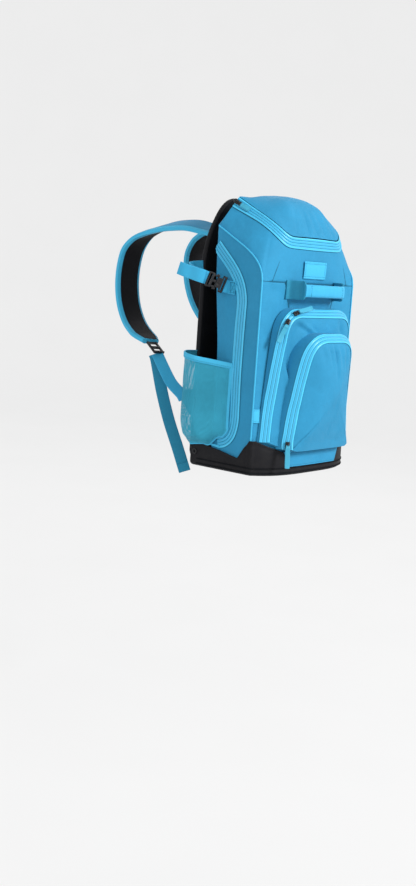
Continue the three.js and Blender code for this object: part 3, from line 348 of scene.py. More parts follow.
def body_columns():
    rows = [(0, 0), (0.5, 0), (0.95, 0), (1, 0.1), (1, 0.92), (1.06, 1), (1.5, 1), (1.94, 1)]
    steps = [5, 5, 1, 6, 1, 4, 5]
    columns = []
    for (a, b), count in zip(zip(rows, rows[1:]), steps):
        for k in range(count):
            columns.append(Column("back", mix(a[0], b[0], k / count), mix(a[1], b[1], k / count)))
    columns.append(Column("back", 1.94, 1))
    columns += [Column("side", t) for t in np.linspace(0.04, 1, 46)]
    columns += [Column("front", t) for t in (0.992, 0.98)]
    columns += [Column("front", t) for t in np.linspace(0.965, 0, 56)]
    turning = [column for column in columns if column.kind != "back"]
    line = np.array([column.zip for column in turning])
    for _ in range(40):
        line[1:-1] = (line[:-2] + line[1:-1] * 2 + line[2:]) / 4
    for column, point in zip(turning, line):
        column.zip = point
        column.rise = float(np.linalg.norm(point - column.seam))
    return columns


COLUMNS = body_columns()
FRONT_COLUMNS = [column for column in COLUMNS if column.kind != "back"]


def whole_ring(half):
    """A whole row from its left half, which ends at the middle of the front."""
    half = np.array(half)
    return np.concatenate([half, half[-2::-1] * [-1, 1, 1]])


def bent(start, knee, end, shares):
    """Points on the curve that leaves start towards the knee and reaches end from it."""
    return [np.array(start) * (1 - t) ** 2 + np.array(knee) * 2 * t * (1 - t) + np.array(end) * t * t
            for t in shares]


def shrunk(row, share, z):
    middle = np.array([0, -(BACK_FACE + BODY_DEPTH) / 2, 0])
    out = (np.array(row) - middle) * share + middle
    out[:, 2] = z
    return out


# Mesh making

def deselect():
    bpy.ops.object.select_all(action="DESELECT")


def only(piece):
    deselect()
    piece.select_set(True)
    bpy.context.view_layer.objects.active = piece


def edit(*steps):
    bpy.ops.object.mode_set(mode="EDIT")
    bpy.ops.mesh.select_all(action="SELECT")
    for step in steps:
        step()
    bpy.ops.object.mode_set(mode="OBJECT")


def apply_modifier(piece, kind, **settings):
    only(piece)
    modifier = piece.modifiers.new(kind.lower(), kind)
    for key, value in settings.items():
        setattr(modifier, key, value)
    bpy.ops.object.modifier_apply(modifier=modifier.name)


def grid_normals(points, ring=False, inside=INSIDE):
    """The way out at every point of a grid of points, away from a place inside."""
    wide = np.concatenate([points[:, -2:-1], points, points[:, 1:2]], axis=1) if ring else points
    across = np.gradient(wide, axis=1)
    across = across[:, 1:-1] if ring else across
    normal = np.cross(across, np.gradient(points, axis=0))
    length = np.linalg.norm(normal, axis=2, keepdims=True)
    normal = normal / np.where(length < 1e-9, 1, length)
    facing = np.sum(normal * (points - np.array(inside)))
    return normal if facing > 0 else -normal


def raised(points, height, ring=False, inside=INSIDE):
    """A grid of points moved off its own surface by heights."""
    height = np.array(height, float)
    if height.ndim == 1:
        height = height[:, None]
    if height.ndim == 2:
        height = height[:, :, None]
    return points + grid_normals(points, ring, inside) * height


def cloth_piece(name, points, ring=False, caps=False, wall=0.0, across=False, inside=INSIDE, sharp=38):
    """A cloth surface from rows of points: rows run up, columns run across. Its UV map is in
    metres along the cloth, or along and across as a share when across is set."""
    points = np.array(points, float)
    rows, columns = points.shape[:2]
    deselect()
    bpy.ops.mesh.primitive_grid_add(x_subdivisions=columns - 1, y_subdivisions=rows - 1, size=2)
    piece = bpy.context.object
    piece.name = piece.data.name = name
    mesh = piece.data
    mesh.vertices.foreach_set("co", (points * MM + ORIGIN).ravel())
    run = np.linalg.norm(np.diff(points, axis=1), axis=2)
    run = np.concatenate([np.zeros((rows, 1)), np.cumsum(run, axis=1)], axis=1) * MM
    climb = np.linalg.norm(np.diff(points, axis=0), axis=2)
    climb = np.concatenate([np.zeros((1, columns)), np.cumsum(climb, axis=0)], axis=0) * MM
    if across:
        climb = np.repeat(np.linspace(0, 1, rows)[:, None], columns, axis=1)
    corner = np.empty(len(mesh.loops), int)
    mesh.loops.foreach_get("vertex_index", corner)
    places = np.stack([run.ravel()[corner], climb.ravel()[corner]], axis=1)
    mesh.uv_layers[0].data.foreach_set("uv", places.ravel())
    steps = [lambda: bpy.ops.mesh.remove_doubles(threshold=1e-5)]
    if caps:
        steps.append(lambda: bpy.ops.mesh.fill_holes(sides=0))
        steps.append(lambda: bpy.ops.mesh.normals_make_consistent(inside=False))
    elif np.sum(np.cross(np.gradient(points, axis=1),
                         np.gradient(points, axis=0)) * (points - np.array(inside))) < 0:
        steps.append(bpy.ops.mesh.flip_normals)
    mesh.update()
    edit(*steps)
    if wall:
        apply_modifier(piece, "SOLIDIFY", thickness=wall * MM, offset=-1, use_even_offset=False)
    smooth(piece, sharp)
    return piece


def smooth(piece, sharp=38):
    only(piece)
    bpy.ops.object.shade_smooth_by_angle(angle=math.radians(sharp))


def sweep_grid(path, wide, section):
    """Rows of a section carried along a path; the section is points of (across, out)."""
    path = np.array(path, float)
    wide = np.broadcast_to(np.array(wide, float), path.shape).copy()
    along = np.gradient(path, axis=0)
    along /= np.linalg.norm(along, axis=1, keepdims=True)
    wide -= along * np.sum(wide * along, axis=1, keepdims=True)
    wide /= np.linalg.norm(wide, axis=1, keepdims=True)
    out = np.cross(along, wide)
    rows = []
    for k in range(len(path)):
        shape = section(k / (len(path) - 1)) if callable(section) else section
        rows.append([path[k] + wide[k] * u + out[k] * v for u, v in shape])
    return np.array(rows)


def swept_piece(name, path, wide, section, sharp=38, caps=True):
    grid = sweep_grid(path, wide, section)
    grid = np.concatenate([grid, grid[:, :1]], axis=1)
    return cloth_piece(name, grid, caps=caps, sharp=sharp)


def flat_section(width, thick, rounding=0.7, bow=0.0):
    """Webbing's section: flat faces, round edges, from 0 to its thickness outwards."""
    half = width / 2
    r = min(rounding, thick / 2 - 0.01)
    across = [-1, -0.75, -0.5, -0.25, 0, 0.25, 0.5, 0.75, 1]
    low = [(t * (half - r), bow * (1 - t * t)) for t in across]
    high = [(t * (half - r), thick + bow * (1 - t * t)) for t in reversed(across)]
    return low + [(half - r * 0.3, r * 0.3), (half, thick / 2), (half - r * 0.3, thick - r * 0.3)] \
        + high + [(-half + r * 0.3, thick - r * 0.3), (-half, thick / 2), (-half + r * 0.3, r * 0.3)]


def round_section(radius, sides=12):
    return [(radius * math.cos(a), radius * math.sin(a))
            for a in np.linspace(0, 2 * math.pi, sides, endpoint=False)]


def mirrored_copy(piece, name):
    """The right-hand piece of a left-hand one, with its own mesh."""
    copy = piece.copy()
    copy.data = piece.data.copy()
    copy.name = copy.data.name = name
    bpy.context.collection.objects.link(copy)
    copy.data.transform(Matrix.Scale(-1, 4, (1, 0, 0)))
    copy.data.flip_normals()
    copy.data.update()
    return copy


def dressed(piece, slot, materials, *nodes):
    """Gives a piece its finish and its place in the frame."""
    for material in materials if isinstance(materials, (list, tuple)) else [materials]:
        piece.data.materials.append(material)
    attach(piece, "root")
    if nodes:
        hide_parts(*nodes)
    return piece


def painted(piece, choose):
    """Gives each face the material that its middle calls for; run before dressed()."""
    for face in piece.data.polygons:
        x, y, z = (np.array(face.center) - ORIGIN) / MM
        face.material_index = choose(x, y, z, face.normal)


def both_sides(make, name, slot, material, node):
    """A left piece and its mirrored right one, each for its own node."""
    left = make(f"{name}_left")
    right = mirrored_copy(left, f"{name}_right")
    dressed(left, slot, material, f"{node}_left")
    dressed(right, slot, material, f"{node}_right")
    return left, right


# Hard parts, modelled about their own middle in millimetres and then set in place

def hard_block(name, size, at=(0, 0, 0), bevel=0.8, segments=2):
    deselect()
    bpy.ops.mesh.primitive_cube_add(size=1, location=at)
    piece = bpy.context.object
    piece.name = piece.data.name = name
    piece.scale = size
    bpy.ops.object.transform_apply(location=True, rotation=True, scale=True)
    if bevel:
        apply_modifier(piece, "BEVEL", width=bevel, segments=segments, limit_method="ANGLE")
    return piece


def hard_tube(name, major, minor, at=(0, 0, 0), turn=(0, 0, 0), flat=1.0):
    deselect()
    bpy.ops.mesh.primitive_torus_add(major_radius=major, minor_radius=minor, major_segments=28,
                                     minor_segments=10,
                                     location=at, rotation=turn)
    piece = bpy.context.object
    piece.name = piece.data.name = name
    piece.scale = (1, flat, 1)
    bpy.ops.object.transform_apply(location=True, rotation=True, scale=True)
    return piece


def cut(piece, cutter):
    only(piece)
    modifier = piece.modifiers.new("cut", "BOOLEAN")
    modifier.operation = "DIFFERENCE"
    modifier.object = cutter
    modifier.solver = "EXACT"
    bpy.ops.object.modifier_apply(modifier=modifier.name)
    bpy.data.objects.remove(cutter)
    return piece


def joined(name, *pieces):
    deselect()
    for piece in pieces:
        piece.select_set(True)
    bpy.context.view_layer.objects.active = pieces[0]
    bpy.ops.object.join()
    piece = bpy.context.object
    piece.name = piece.data.name = name
    return piece


def set_in_place(piece, center, along, wide, sharp=32):
    """Moves a part made about its middle, with X along and Y wide, to its place on the bag."""
    along = Vector(along).normalized()
    wide = Vector(wide)
    wide = (wide - along * wide.dot(along)).normalized()
    out = along.cross(wide)
    turn = Matrix((along, wide, out)).transposed().to_4x4()
    place = Matrix.Translation(Vector(np.array(center) * MM + ORIGIN)) @ turn @ Matrix.Scale(MM, 4)
    piece.data.transform(place)
    only(piece)
    edit(lambda: bpy.ops.mesh.normals_make_consistent(inside=False))
    smooth(piece, sharp)
    return piece


# Stitches: one small thread shape, repeated along lines of (point, way out)

def stitch_shape():
    ring = [(-1, 0, 0), (-0.7, -0.5, 0), (0.7, -0.5, 0), (1, 0, 0), (0.7, 0.5, 0), (-0.7, 0.5, 0)]
    points = ring + [(-0.55, 0, 0.9), (0.55, 0, 0.9)]
    faces = [(0, 1, 6), (1, 2, 7, 6), (2, 3, 7), (3, 4, 7), (4, 5, 6, 7), (5, 0, 6), (5, 4, 3, 2, 1, 0)]
    return np.array(points), faces


def stitches(name, lines, length=3.0, pitch=4.4, width=0.9, height=0.5, sink=0.15):
    """Threads laid along lines, each line a list of points and one of the ways out."""
    shape, faces = stitch_shape()
    shape = shape * [length / 2, width, height]
    points, polygons = [], []
    for line, outs in lines:
        line = np.array(line, float)
        outs = np.array(outs, float)
        run = np.concatenate([[0], np.cumsum(np.linalg.norm(np.diff(line, axis=0), axis=1))])
        count = int(run[-1] / pitch)
        if count < 1:
            continue
        places = (np.arange(count) + 0.5) * run[-1] / count
        spot = lambda at, data: np.stack([np.interp(at, run, data[:, k]) for k in range(3)], axis=1)
        middle = spot(places, line)
        along = spot(places + 0.6, line) - spot(places - 0.6, line)
        along /= np.linalg.norm(along, axis=1, keepdims=True)
        out = spot(places, outs)
        out -= along * np.sum(out * along, axis=1, keepdims=True)
        out /= np.linalg.norm(out, axis=1, keepdims=True)
        wide = np.cross(out, along)
        middle = middle - out * sink
        for m, a, w, o in zip(middle, along, wide, out):
            base = len(points) * len(shape)
            points.append(m + shape[:, :1] * a + shape[:, 1:2] * w + shape[:, 2:] * o)
            polygons += [tuple(base + n for n in face) for face in faces]
    mesh = bpy.data.meshes.new(name)
    mesh.from_pydata((np.concatenate(points) * MM + ORIGIN).tolist(), [], polygons)
    mesh.update()
    piece = bpy.data.objects.new(name, mesh)
    bpy.context.collection.objects.link(piece)
    only(piece)
    edit(lambda: bpy.ops.mesh.normals_make_consistent(inside=False))
    return piece


def grid_line(points, share, lift=0.0, ring=False, inside=INSIDE, column=False):
    """A line along a row (or column) of a grid at a share of the way, with its ways out."""
    points = np.array(points, float)
    normal = grid_normals(points, ring, inside)
    if column:
        points, normal = points.transpose(1, 0, 2), normal.transpose(1, 0, 2)
    place = share * (len(points) - 1)
    k = min(int(place), len(points) - 2)
    line = mix(points[k], points[k + 1], place - k)
    out = mix(normal[k], normal[k + 1], place - k)
    return line + out * lift, out


def flipped(lines):
    """The same lines on the right side."""
    return [(np.array(line) * [-1, 1, 1], np.array(out) * [-1, 1, 1]) for line, out in lines]


# Materials

class Nodes:
    """Shorthand for building a node tree."""

    def __init__(self, tree):
        self.tree = tree

    def add(self, kind, **settings):
        node = self.tree.nodes.new(kind)
        for key, value in settings.items():
            setattr(node, key, value)
        return node

    def feed(self, socket, value):
        if isinstance(value, bpy.types.NodeSocket):
            self.tree.links.new(value, socket)
        else:
            socket.default_value = value

    def math(self, operation, *values, clamp=False):
        node = self.add("ShaderNodeMath", operation=operation, use_clamp=clamp)
        for socket, value in zip(node.inputs, values):
            self.feed(socket, value)
        return node.outputs[0]

    def vector(self, operation, a, b):
        node = self.add("ShaderNodeVectorMath", operation=operation)
        self.feed(node.inputs[0], a)
        self.feed(node.inputs[1], b)
        return node.outputs[0]

    def noise(self, vector, scale, detail=2.0, roughness=0.5):
        node = self.add("ShaderNodeTexNoise")
        self.feed(node.inputs["Vector"], vector)
        node.inputs["Scale"].default_value = scale
        node.inputs["Detail"].default_value = detail
        node.inputs["Roughness"].default_value = roughness
        return node.outputs["Fac"]

    def span(self, value, low, high, to_low=0.0, to_high=1.0):
        node = self.add("ShaderNodeMapRange", interpolation_type="SMOOTHSTEP")
        for key, number in (("Value", value), ("From Min", low), ("From Max", high), ("To Min", to_low),
                            ("To Max", to_high)):
            self.feed(node.inputs[key], number)
        return node.outputs[0]

    def blend(self, share, a, b, kind="MIX"):
        node = self.add("ShaderNodeMix", data_type="RGBA", blend_type=kind)
        self.feed(node.inputs[0], share)
        self.feed(node.inputs[6], a)
        self.feed(node.inputs[7], b)
        return node.outputs[2]


def new_group(name, inputs, outputs):
    tree = bpy.data.node_groups.new(name, "ShaderNodeTree")
    for socket, kind, default in inputs:
        made = tree.interface.new_socket(socket, in_out="INPUT", socket_type=kind)
        if default is not None:
            made.default_value = default
    for socket, kind in outputs:
        tree.interface.new_socket(socket, in_out="OUTPUT", socket_type=kind)
    nodes = Nodes(tree)
    return nodes, nodes.add("NodeGroupInput").outputs, nodes.add("NodeGroupOutput").inputs


def weave_group():
    """Threads over and under each other: height of the cloth, on places in metres."""
    nodes, take, give = new_group(
        "plain weave", [("Vector", "NodeSocketVector", None), ("Pitch", "NodeSocketFloat", 0.0012)],
        [("Height", "NodeSocketFloat")])
    split = nodes.add("ShaderNodeSeparateXYZ")
    nodes.feed(split.inputs[0], take["Vector"])
    turn = nodes.math("DIVIDE", math.pi, take["Pitch"])
    u = nodes.math("SINE", nodes.math("MULTIPLY", split.outputs[0], turn))
    v = nodes.math("SINE", nodes.math("MULTIPLY", split.outputs[1], turn))
    nodes.feed(give["Height"], nodes.math("MULTIPLY_ADD", nodes.math("MULTIPLY", u, v), 0.5, 0.5))
    return nodes.tree


def rib_group():
    """Ribs of webbing: raised cords along it, crossed by fine ticks."""
    nodes, take, give = new_group(
        "webbing ribs", [("Vector", "NodeSocketVector", None), ("Pitch", "NodeSocketFloat", 0.0022)],
        [("Height", "NodeSocketFloat")])
    split = nodes.add("ShaderNodeSeparateXYZ")
    nodes.feed(split.inputs[0], take["Vector"])
    turn = nodes.math("DIVIDE", 2 * math.pi, take["Pitch"])
    cord = nodes.math("COSINE", nodes.math("MULTIPLY", split.outputs[0], turn))
    shift = nodes.math("MULTIPLY", nodes.math("SINE", nodes.math("MULTIPLY", split.outputs[0],
                                                                 nodes.math("MULTIPLY", turn, 0.5))), 1.6)
    tick = nodes.math("SINE", nodes.math("ADD", nodes.math("MULTIPLY", split.outputs[1],
                                                           nodes.math("MULTIPLY", turn, 0.9)), shift))
    both = nodes.math("ADD", nodes.math("MULTIPLY", cord, 0.35), nodes.math("MULTIPLY", tick, 0.25))
    nodes.feed(give["Height"], nodes.math("ADD", both, 0.5))
    return nodes.tree


def tone_group():
    """Cloth's colour with soft fading, rubbed paler places and dust low down."""
    nodes, take, give = new_group(
        "cloth tone", [("Color", "NodeSocketColor", None), ("Vector", "NodeSocketVector", None),
                       ("Fade", "NodeSocketFloat", 0.12), ("Dust", "NodeSocketFloat", 0.1)],
        [("Color", "NodeSocketColor"), ("Rub", "NodeSocketFloat")])
    soft = nodes.noise(take["Vector"], 11.0, 4.0, 0.6)
    fine = nodes.noise(take["Vector"], 140.0, 2.0)
    shade = nodes.math("ADD", nodes.math("MULTIPLY", nodes.math("SUBTRACT", soft, 0.5),
                                         nodes.math("MULTIPLY", take["Fade"], 2.2)),
                       nodes.math("MULTIPLY", nodes.math("SUBTRACT", fine, 0.5),
                                  nodes.math("MULTIPLY", take["Fade"], 0.8)))
    rub = nodes.span(nodes.noise(take["Vector"], 17.0, 4.0, 0.6), 0.5, 0.85)
    bright = nodes.math("MULTIPLY_ADD", nodes.math("MULTIPLY", rub, take["Fade"]), 0.8,
                        nodes.math("ADD", shade, 1.0))
    paler = nodes.vector("SCALE", take["Color"], (0, 0, 0))
    nodes.feed(paler.node.inputs[3], bright)
    split = nodes.add("ShaderNodeSeparateXYZ")
    nodes.feed(split.inputs[0], take["Vector"])
    low = nodes.span(split.outputs[2], UNDERSIDE + 0.13, UNDERSIDE)
    specks = nodes.span(nodes.noise(take["Vector"], 55.0, 6.0, 0.7), 0.42, 0.7)
    dust = nodes.math("MULTIPLY", nodes.math("MULTIPLY", low, specks), take["Dust"])
    nodes.feed(give["Color"], nodes.blend(dust, paler, (0.42, 0.38, 0.33, 1)))
    nodes.feed(give["Rub"], rub)
    return nodes.tree


def groove_group():
    """Painted shade in the grooves between the ridges of a zipper band, and a painted highlight on the ridge
    flanks beside them and along the band's two edges.
    """
    nodes, take, give = new_group(
        "band grooves", [("Vector", "NodeSocketVector", None), ("Ridges", "NodeSocketFloat", 4.0)],
        [("Groove", "NodeSocketFloat"), ("Edge", "NodeSocketFloat"), ("Height", "NodeSocketFloat")])
    split = nodes.add("ShaderNodeSeparateXYZ")
    nodes.feed(split.inputs[0], take["Vector"])
    place = nodes.math("MULTIPLY", split.outputs[1], take["Ridges"])
    away = nodes.math("ABSOLUTE", nodes.math("SUBTRACT", nodes.math("FRACT", place), 0.5))
    # Groove: painted shade in the valleys between the ridges.
    nodes.feed(give["Groove"], nodes.span(away, 0.38, 0.49))
    # Edge: painted highlight on the band's two edges and on the ridge flanks next to the grooves.
    rim = nodes.span(nodes.math("ABSOLUTE", nodes.math("SUBTRACT", split.outputs[1], 0.5)), 0.34, 0.42)
    nodes.feed(give["Edge"], nodes.math("MAXIMUM", rim, nodes.span(away, 0.12, 0.3, 0.0, 0.6)))
    teeth = nodes.math("SINE", nodes.math("MULTIPLY", split.outputs[0], 2 * math.pi / 0.0016))
    nodes.feed(give["Height"], nodes.math("MULTIPLY_ADD", teeth, 0.5, 0.5))
    return nodes.tree


GROUPS = {}


def placed_group(nodes, key, **values):
    node = nodes.add("ShaderNodeGroup", node_tree=GROUPS[key])
    for socket, value in values.items():
        nodes.feed(node.inputs[socket], value)
    return node.outputs


def new_material(name, roughness, sheen=0.0, coat=0.0, specular=0.25):
    material = bpy.data.materials.new(name)
    material.use_nodes = True
    material.node_tree.nodes.clear()
    nodes = Nodes(material.node_tree)
    shader = nodes.add("ShaderNodeBsdfPrincipled")
    shader.inputs["Roughness"].default_value = roughness
    shader.inputs["Specular IOR Level"].default_value = specular
    shader.inputs["Sheen Weight"].default_value = sheen
    shader.inputs["Sheen Roughness"].default_value = 0.4
    shader.inputs["Coat Weight"].default_value = coat
    shader.inputs["Coat Roughness"].default_value = 0.25
    output = nodes.add("ShaderNodeOutputMaterial")
    nodes.feed(output.inputs["Surface"], shader.outputs[0])
    place = nodes.add("ShaderNodeTexCoord").outputs
    return material, nodes, shader.inputs, place


def add_bump(nodes, shader, height, strength, distance):
    node = nodes.add("ShaderNodeBump")
    node.inputs["Strength"].default_value = strength
    node.inputs["Distance"].default_value = distance
    nodes.feed(node.inputs["Height"], height)
    nodes.feed(shader["Normal"], node.outputs[0])


def cloth_material(name, color, roughness=0.72, pitch=0.0013, fade=0.14, dust=0.02, sheen=0.04, depth=0.0003,
                   coat=0.0, pattern="weave", specular=0.2):
    material, nodes, shader, place = new_material(name, roughness, sheen, coat, specular)
    tone = placed_group(nodes, "tone", Color=(*color, 1), Vector=place["Object"], Fade=fade, Dust=dust)
    height = placed_group(nodes, pattern, Vector=place["UV"], Pitch=pitch)["Height"]
    # Painted shade between the threads: the colour darkens to 82% where the weave or rib height is low.
    low = nodes.span(height, 0.0, 0.45, 0.82, 1.0)
    threads = nodes.vector("SCALE", tone["Color"], (0, 0, 0))
    nodes.feed(threads.node.inputs[3], low)
    nodes.feed(shader["Base Color"], threads)
    nodes.feed(shader["Roughness"], nodes.span(tone["Rub"], 0, 1, roughness, roughness - 0.12))
    add_bump(nodes, shader, height, 0.55, depth)
    return material


def band_material(name, color, middle_color, groove_color, ridges, roughness=0.42):
    material, nodes, shader, place = new_material(name, roughness, 0.0, 0.25)
    groove = placed_group(nodes, "groove", Vector=place["UV"], Ridges=float(ridges))
    # The ridge flanks and band edges take the bright colour as a painted highlight; the ridge middles keep the
    # band colour.
    ridge = nodes.blend(groove["Edge"], (*middle_color, 1), (*color, 1))
    tone = placed_group(nodes, "tone", Color=ridge, Vector=place["Object"], Fade=0.1, Dust=0.02)
    # The grooves take the groove colour as painted shade.
    nodes.feed(shader["Base Color"], nodes.blend(groove["Groove"], tone["Color"], (*groove_color, 1)))
    nodes.feed(shader["Roughness"], nodes.span(groove["Groove"], 0, 1, roughness, 0.85))
    add_bump(nodes, shader, groove["Height"], 0.25, 0.0002)
    return material


def mesh_material(name, color, pitch):
    """Open net: round holes on the cloth's own places."""
    material, nodes, shader, place = new_material(name, 0.85, 0.05, specular=0.08)
    tone = placed_group(nodes, "tone", Color=(*color, 1), Vector=place["Object"], Fade=0.2, Dust=0.02)
    split = nodes.add("ShaderNodeSeparateXYZ")
    nodes.feed(split.inputs[0], place["UV"])
    turn = 2 * math.pi / pitch
    u = nodes.math("COSINE",
                   nodes.math("MULTIPLY", nodes.math("ADD", split.outputs[0], split.outputs[1]), turn * 0.7))
    v = nodes.math("COSINE", nodes.math("MULTIPLY", nodes.math("SUBTRACT", split.outputs[0],
                                                               split.outputs[1]), turn * 0.7))
    both = nodes.math("ADD", u, v)
    hole = nodes.span(both, 0.7, 1.0)
    nodes.feed(shader["Base Color"], tone["Color"])
    nodes.feed(shader["Alpha"], nodes.math("SUBTRACT", 1.0, hole))
    add_bump(nodes, shader, nodes.math("MULTIPLY", both, -0.25), 0.6, 0.0004)
    return material


def plastic_material(name, color, roughness=0.42):
    material, nodes, shader, place = new_material(name, roughness, 0.0, 0.0, 0.35)
    grain = nodes.noise(place["Object"], 1400.0, 3.0)
    scuff = nodes.span(nodes.noise(place["Object"], 160.0, 6.0, 0.7), 0.6, 0.75)
    nodes.feed(shader["Base Color"],
               nodes.blend(nodes.math("MULTIPLY", scuff, 0.35), (*color, 1), (0.11, 0.11, 0.12, 1)))
    nodes.feed(shader["Roughness"], nodes.span(scuff, 0, 1, roughness, roughness + 0.2))
    add_bump(nodes, shader, grain, 0.25, 0.0002)
    return material


MATERIALS = {}


def make_materials(colours):
    GROUPS.update(weave=weave_group(), ribs=rib_group(), tone=tone_group(), groove=groove_group())
    MATERIALS.update(
        body=cloth_material("body cloth", colours.body),
        trim=cloth_material("trim cloth", colours.trim, 0.6, 0.001, 0.08),
        pad=cloth_material("strap cloth", colours.body, 0.8, 0.0014, 0.16, 0.0),
        band4=band_material("zipper band", colours.bright, colours.band, colours.groove, 4),
        band3=band_material("narrow zipper band", colours.bright, colours.band, colours.groove, 3),
        webbing=cloth_material("webbing", colours.webbing, 0.62, 0.0024, 0.1, 0.02, 0.06, 0.0004,
                               pattern="ribs"),
        # Darker teal: painted shade on the outward-turned handle legs, and the hanging tails' own colour.
        dark_webbing=cloth_material("teal webbing for shaded handle legs and tails", colours.teal, 0.66, 0.0024, 0.1, 0.0, 0.06, 0.0004,
                                    pattern="ribs"),
        pull=cloth_material("pull webbing", colours.pull, 0.5, 0.0016, 0.1, 0.0, 0.05, 0.0002,
                            pattern="ribs"),
        mesh=mesh_material("pocket mesh", colours.mesh, 0.0017),
        spacer=mesh_solid("spacer mesh", colours.black),
        boot=cloth_material("boot cloth", colours.black, 0.55, 0.0016, 0.3, 0.012, 0.0, 0.0003, 0.0,
                            specular=0.14),
        # Near-black: painted shade on the walls inside the bat channels, and plain black on the back pad, the
        # shell's back and the boot welts.
        lining=cloth_material("channel lining", colours.lining, 0.85, 0.0013, 0.3, 0.01, 0.0, specular=0.08),
        plastic=plastic_material("black plastic", colours.plastic),
        teal_thread=cloth_material("teal thread", colours.groove, 0.6, 0.0006, 0.05, 0.0, 0.0, 0.0001),
        black_thread=cloth_material("black thread", colours.plastic, 0.5, 0.0006, 0.1, 0.0, 0.0, 0.0001),
    )


def mesh_solid(name, color):
    """Closed padded mesh: dimples darkened by painted shade, with no holes through it."""
    material, nodes, shader, place = new_material(name, 0.8, 0.05, specular=0.12)
    tone = placed_group(nodes, "tone", Color=(*color, 1), Vector=place["Object"], Fade=0.3, Dust=0.0)
    split = nodes.add("ShaderNodeSeparateXYZ")
    nodes.feed(split.inputs[0], place["UV"])
    turn = 2 * math.pi / 0.004
    u = nodes.math("COSINE",
                   nodes.math("MULTIPLY", nodes.math("ADD", split.outputs[0], split.outputs[1]), turn * 0.7))
    v = nodes.math("COSINE", nodes.math("MULTIPLY", nodes.math("SUBTRACT", split.outputs[0],
                                                               split.outputs[1]), turn * 0.7))
    dimple = nodes.span(nodes.math("ADD", u, v), 0.6, 1.3)
    # Painted shade in the dimples: the colour falls to 30% at their deepest.
    darker = nodes.vector("SCALE", tone["Color"], (0, 0, 0))
    nodes.feed(darker.node.inputs[3], nodes.span(dimple, 0, 1, 1.0, 0.3))
    nodes.feed(shader["Base Color"], darker)
    add_bump(nodes, shader, nodes.math("MULTIPLY", dimple, -1.0), 0.7, 0.0006)
    return material


# Sizes and colours

def length(name, description, default, low=0.0001, high=0.1):
    return bpy.props.FloatProperty(name=name, description=description, default=default, min=low, max=high,
                                   unit="LENGTH", subtype="DISTANCE", precision=4)


def colour(name, description, default):
    return bpy.props.FloatVectorProperty(name=name, description=description, default=default, size=3,
                                         min=0.0, max=1.0, subtype="COLOR")


class BAG_PG_sizes(bpy.types.PropertyGroup):
    cloth_wall: length("Cloth thickness", "Thickness of the body's padded cloth", 0.0022)
    ridge: length("Zipper ridge", "How far the ridges of the zipper bands stand up", 0.0018)
    crease: length("Crease depth", "Depth of the creases pressed into the pocket faces", 0.0045)
    stitch: length("Stitch length", "Length of one stitch", 0.003)
    stitch_pitch: length("Stitch spacing", "Distance from one stitch to the next", 0.0044)
    binding: length("Binding width", "Width of the folded binding on the straps and the back panel", 0.009)


class BAG_PG_colours(bpy.types.PropertyGroup):
    body: colour("Body", "Turquoise cloth of the body and pockets", (0.023, 0.240, 0.435))
    # bright: the painted highlight colour on the zipper bands' edges and ridge flanks.
    bright: colour("Bright turquoise", "Edges of the zipper bands", (0.065, 0.520, 0.810))
    band: colour("Zipper bands", "Middles of the zipper ridges", (0.038, 0.350, 0.590))
    groove: colour("Groove", "Shadowed grooves between the zipper ridges", (0.008, 0.110, 0.190))
    webbing: colour("Webbing", "Straps and their tails", (0.040, 0.370, 0.620))
    # teal: painted shade on the outward-turned handle legs, and the hanging tails' own darker colour.
    teal: colour("Teal webbing, handle-leg shade and tails", "Ends of the haul handle and the hanging tails", (0.018, 0.215, 0.350))
    # trim: the bindings' and hems' own lighter colour; on the piping it also paints the cord's highlight.
    trim: colour("Trim", "Piping, binding and hems", (0.052, 0.430, 0.690))
    pull: colour("Pulls", "Strips on the zipper sliders", (0.050, 0.340, 0.500))
    mesh: colour("Mesh", "Net of the bat pockets", (0.044, 0.345, 0.500))
    black: colour("Black cloth", "Boot and padded mesh", (0.0075, 0.0075, 0.0095))
    # Near-black painted shade for the bat channels' walls, also plain black on hidden faces and the boot welts.
    lining: colour("Lining and channel shade", "Near-black painted shade inside the bat channels, plain black on hidden faces", (0.006, 0.007, 0.009))
    plastic: colour("Plastic", "Buckles, sliders and adjusters", (0.008, 0.008, 0.010))


# Front pockets

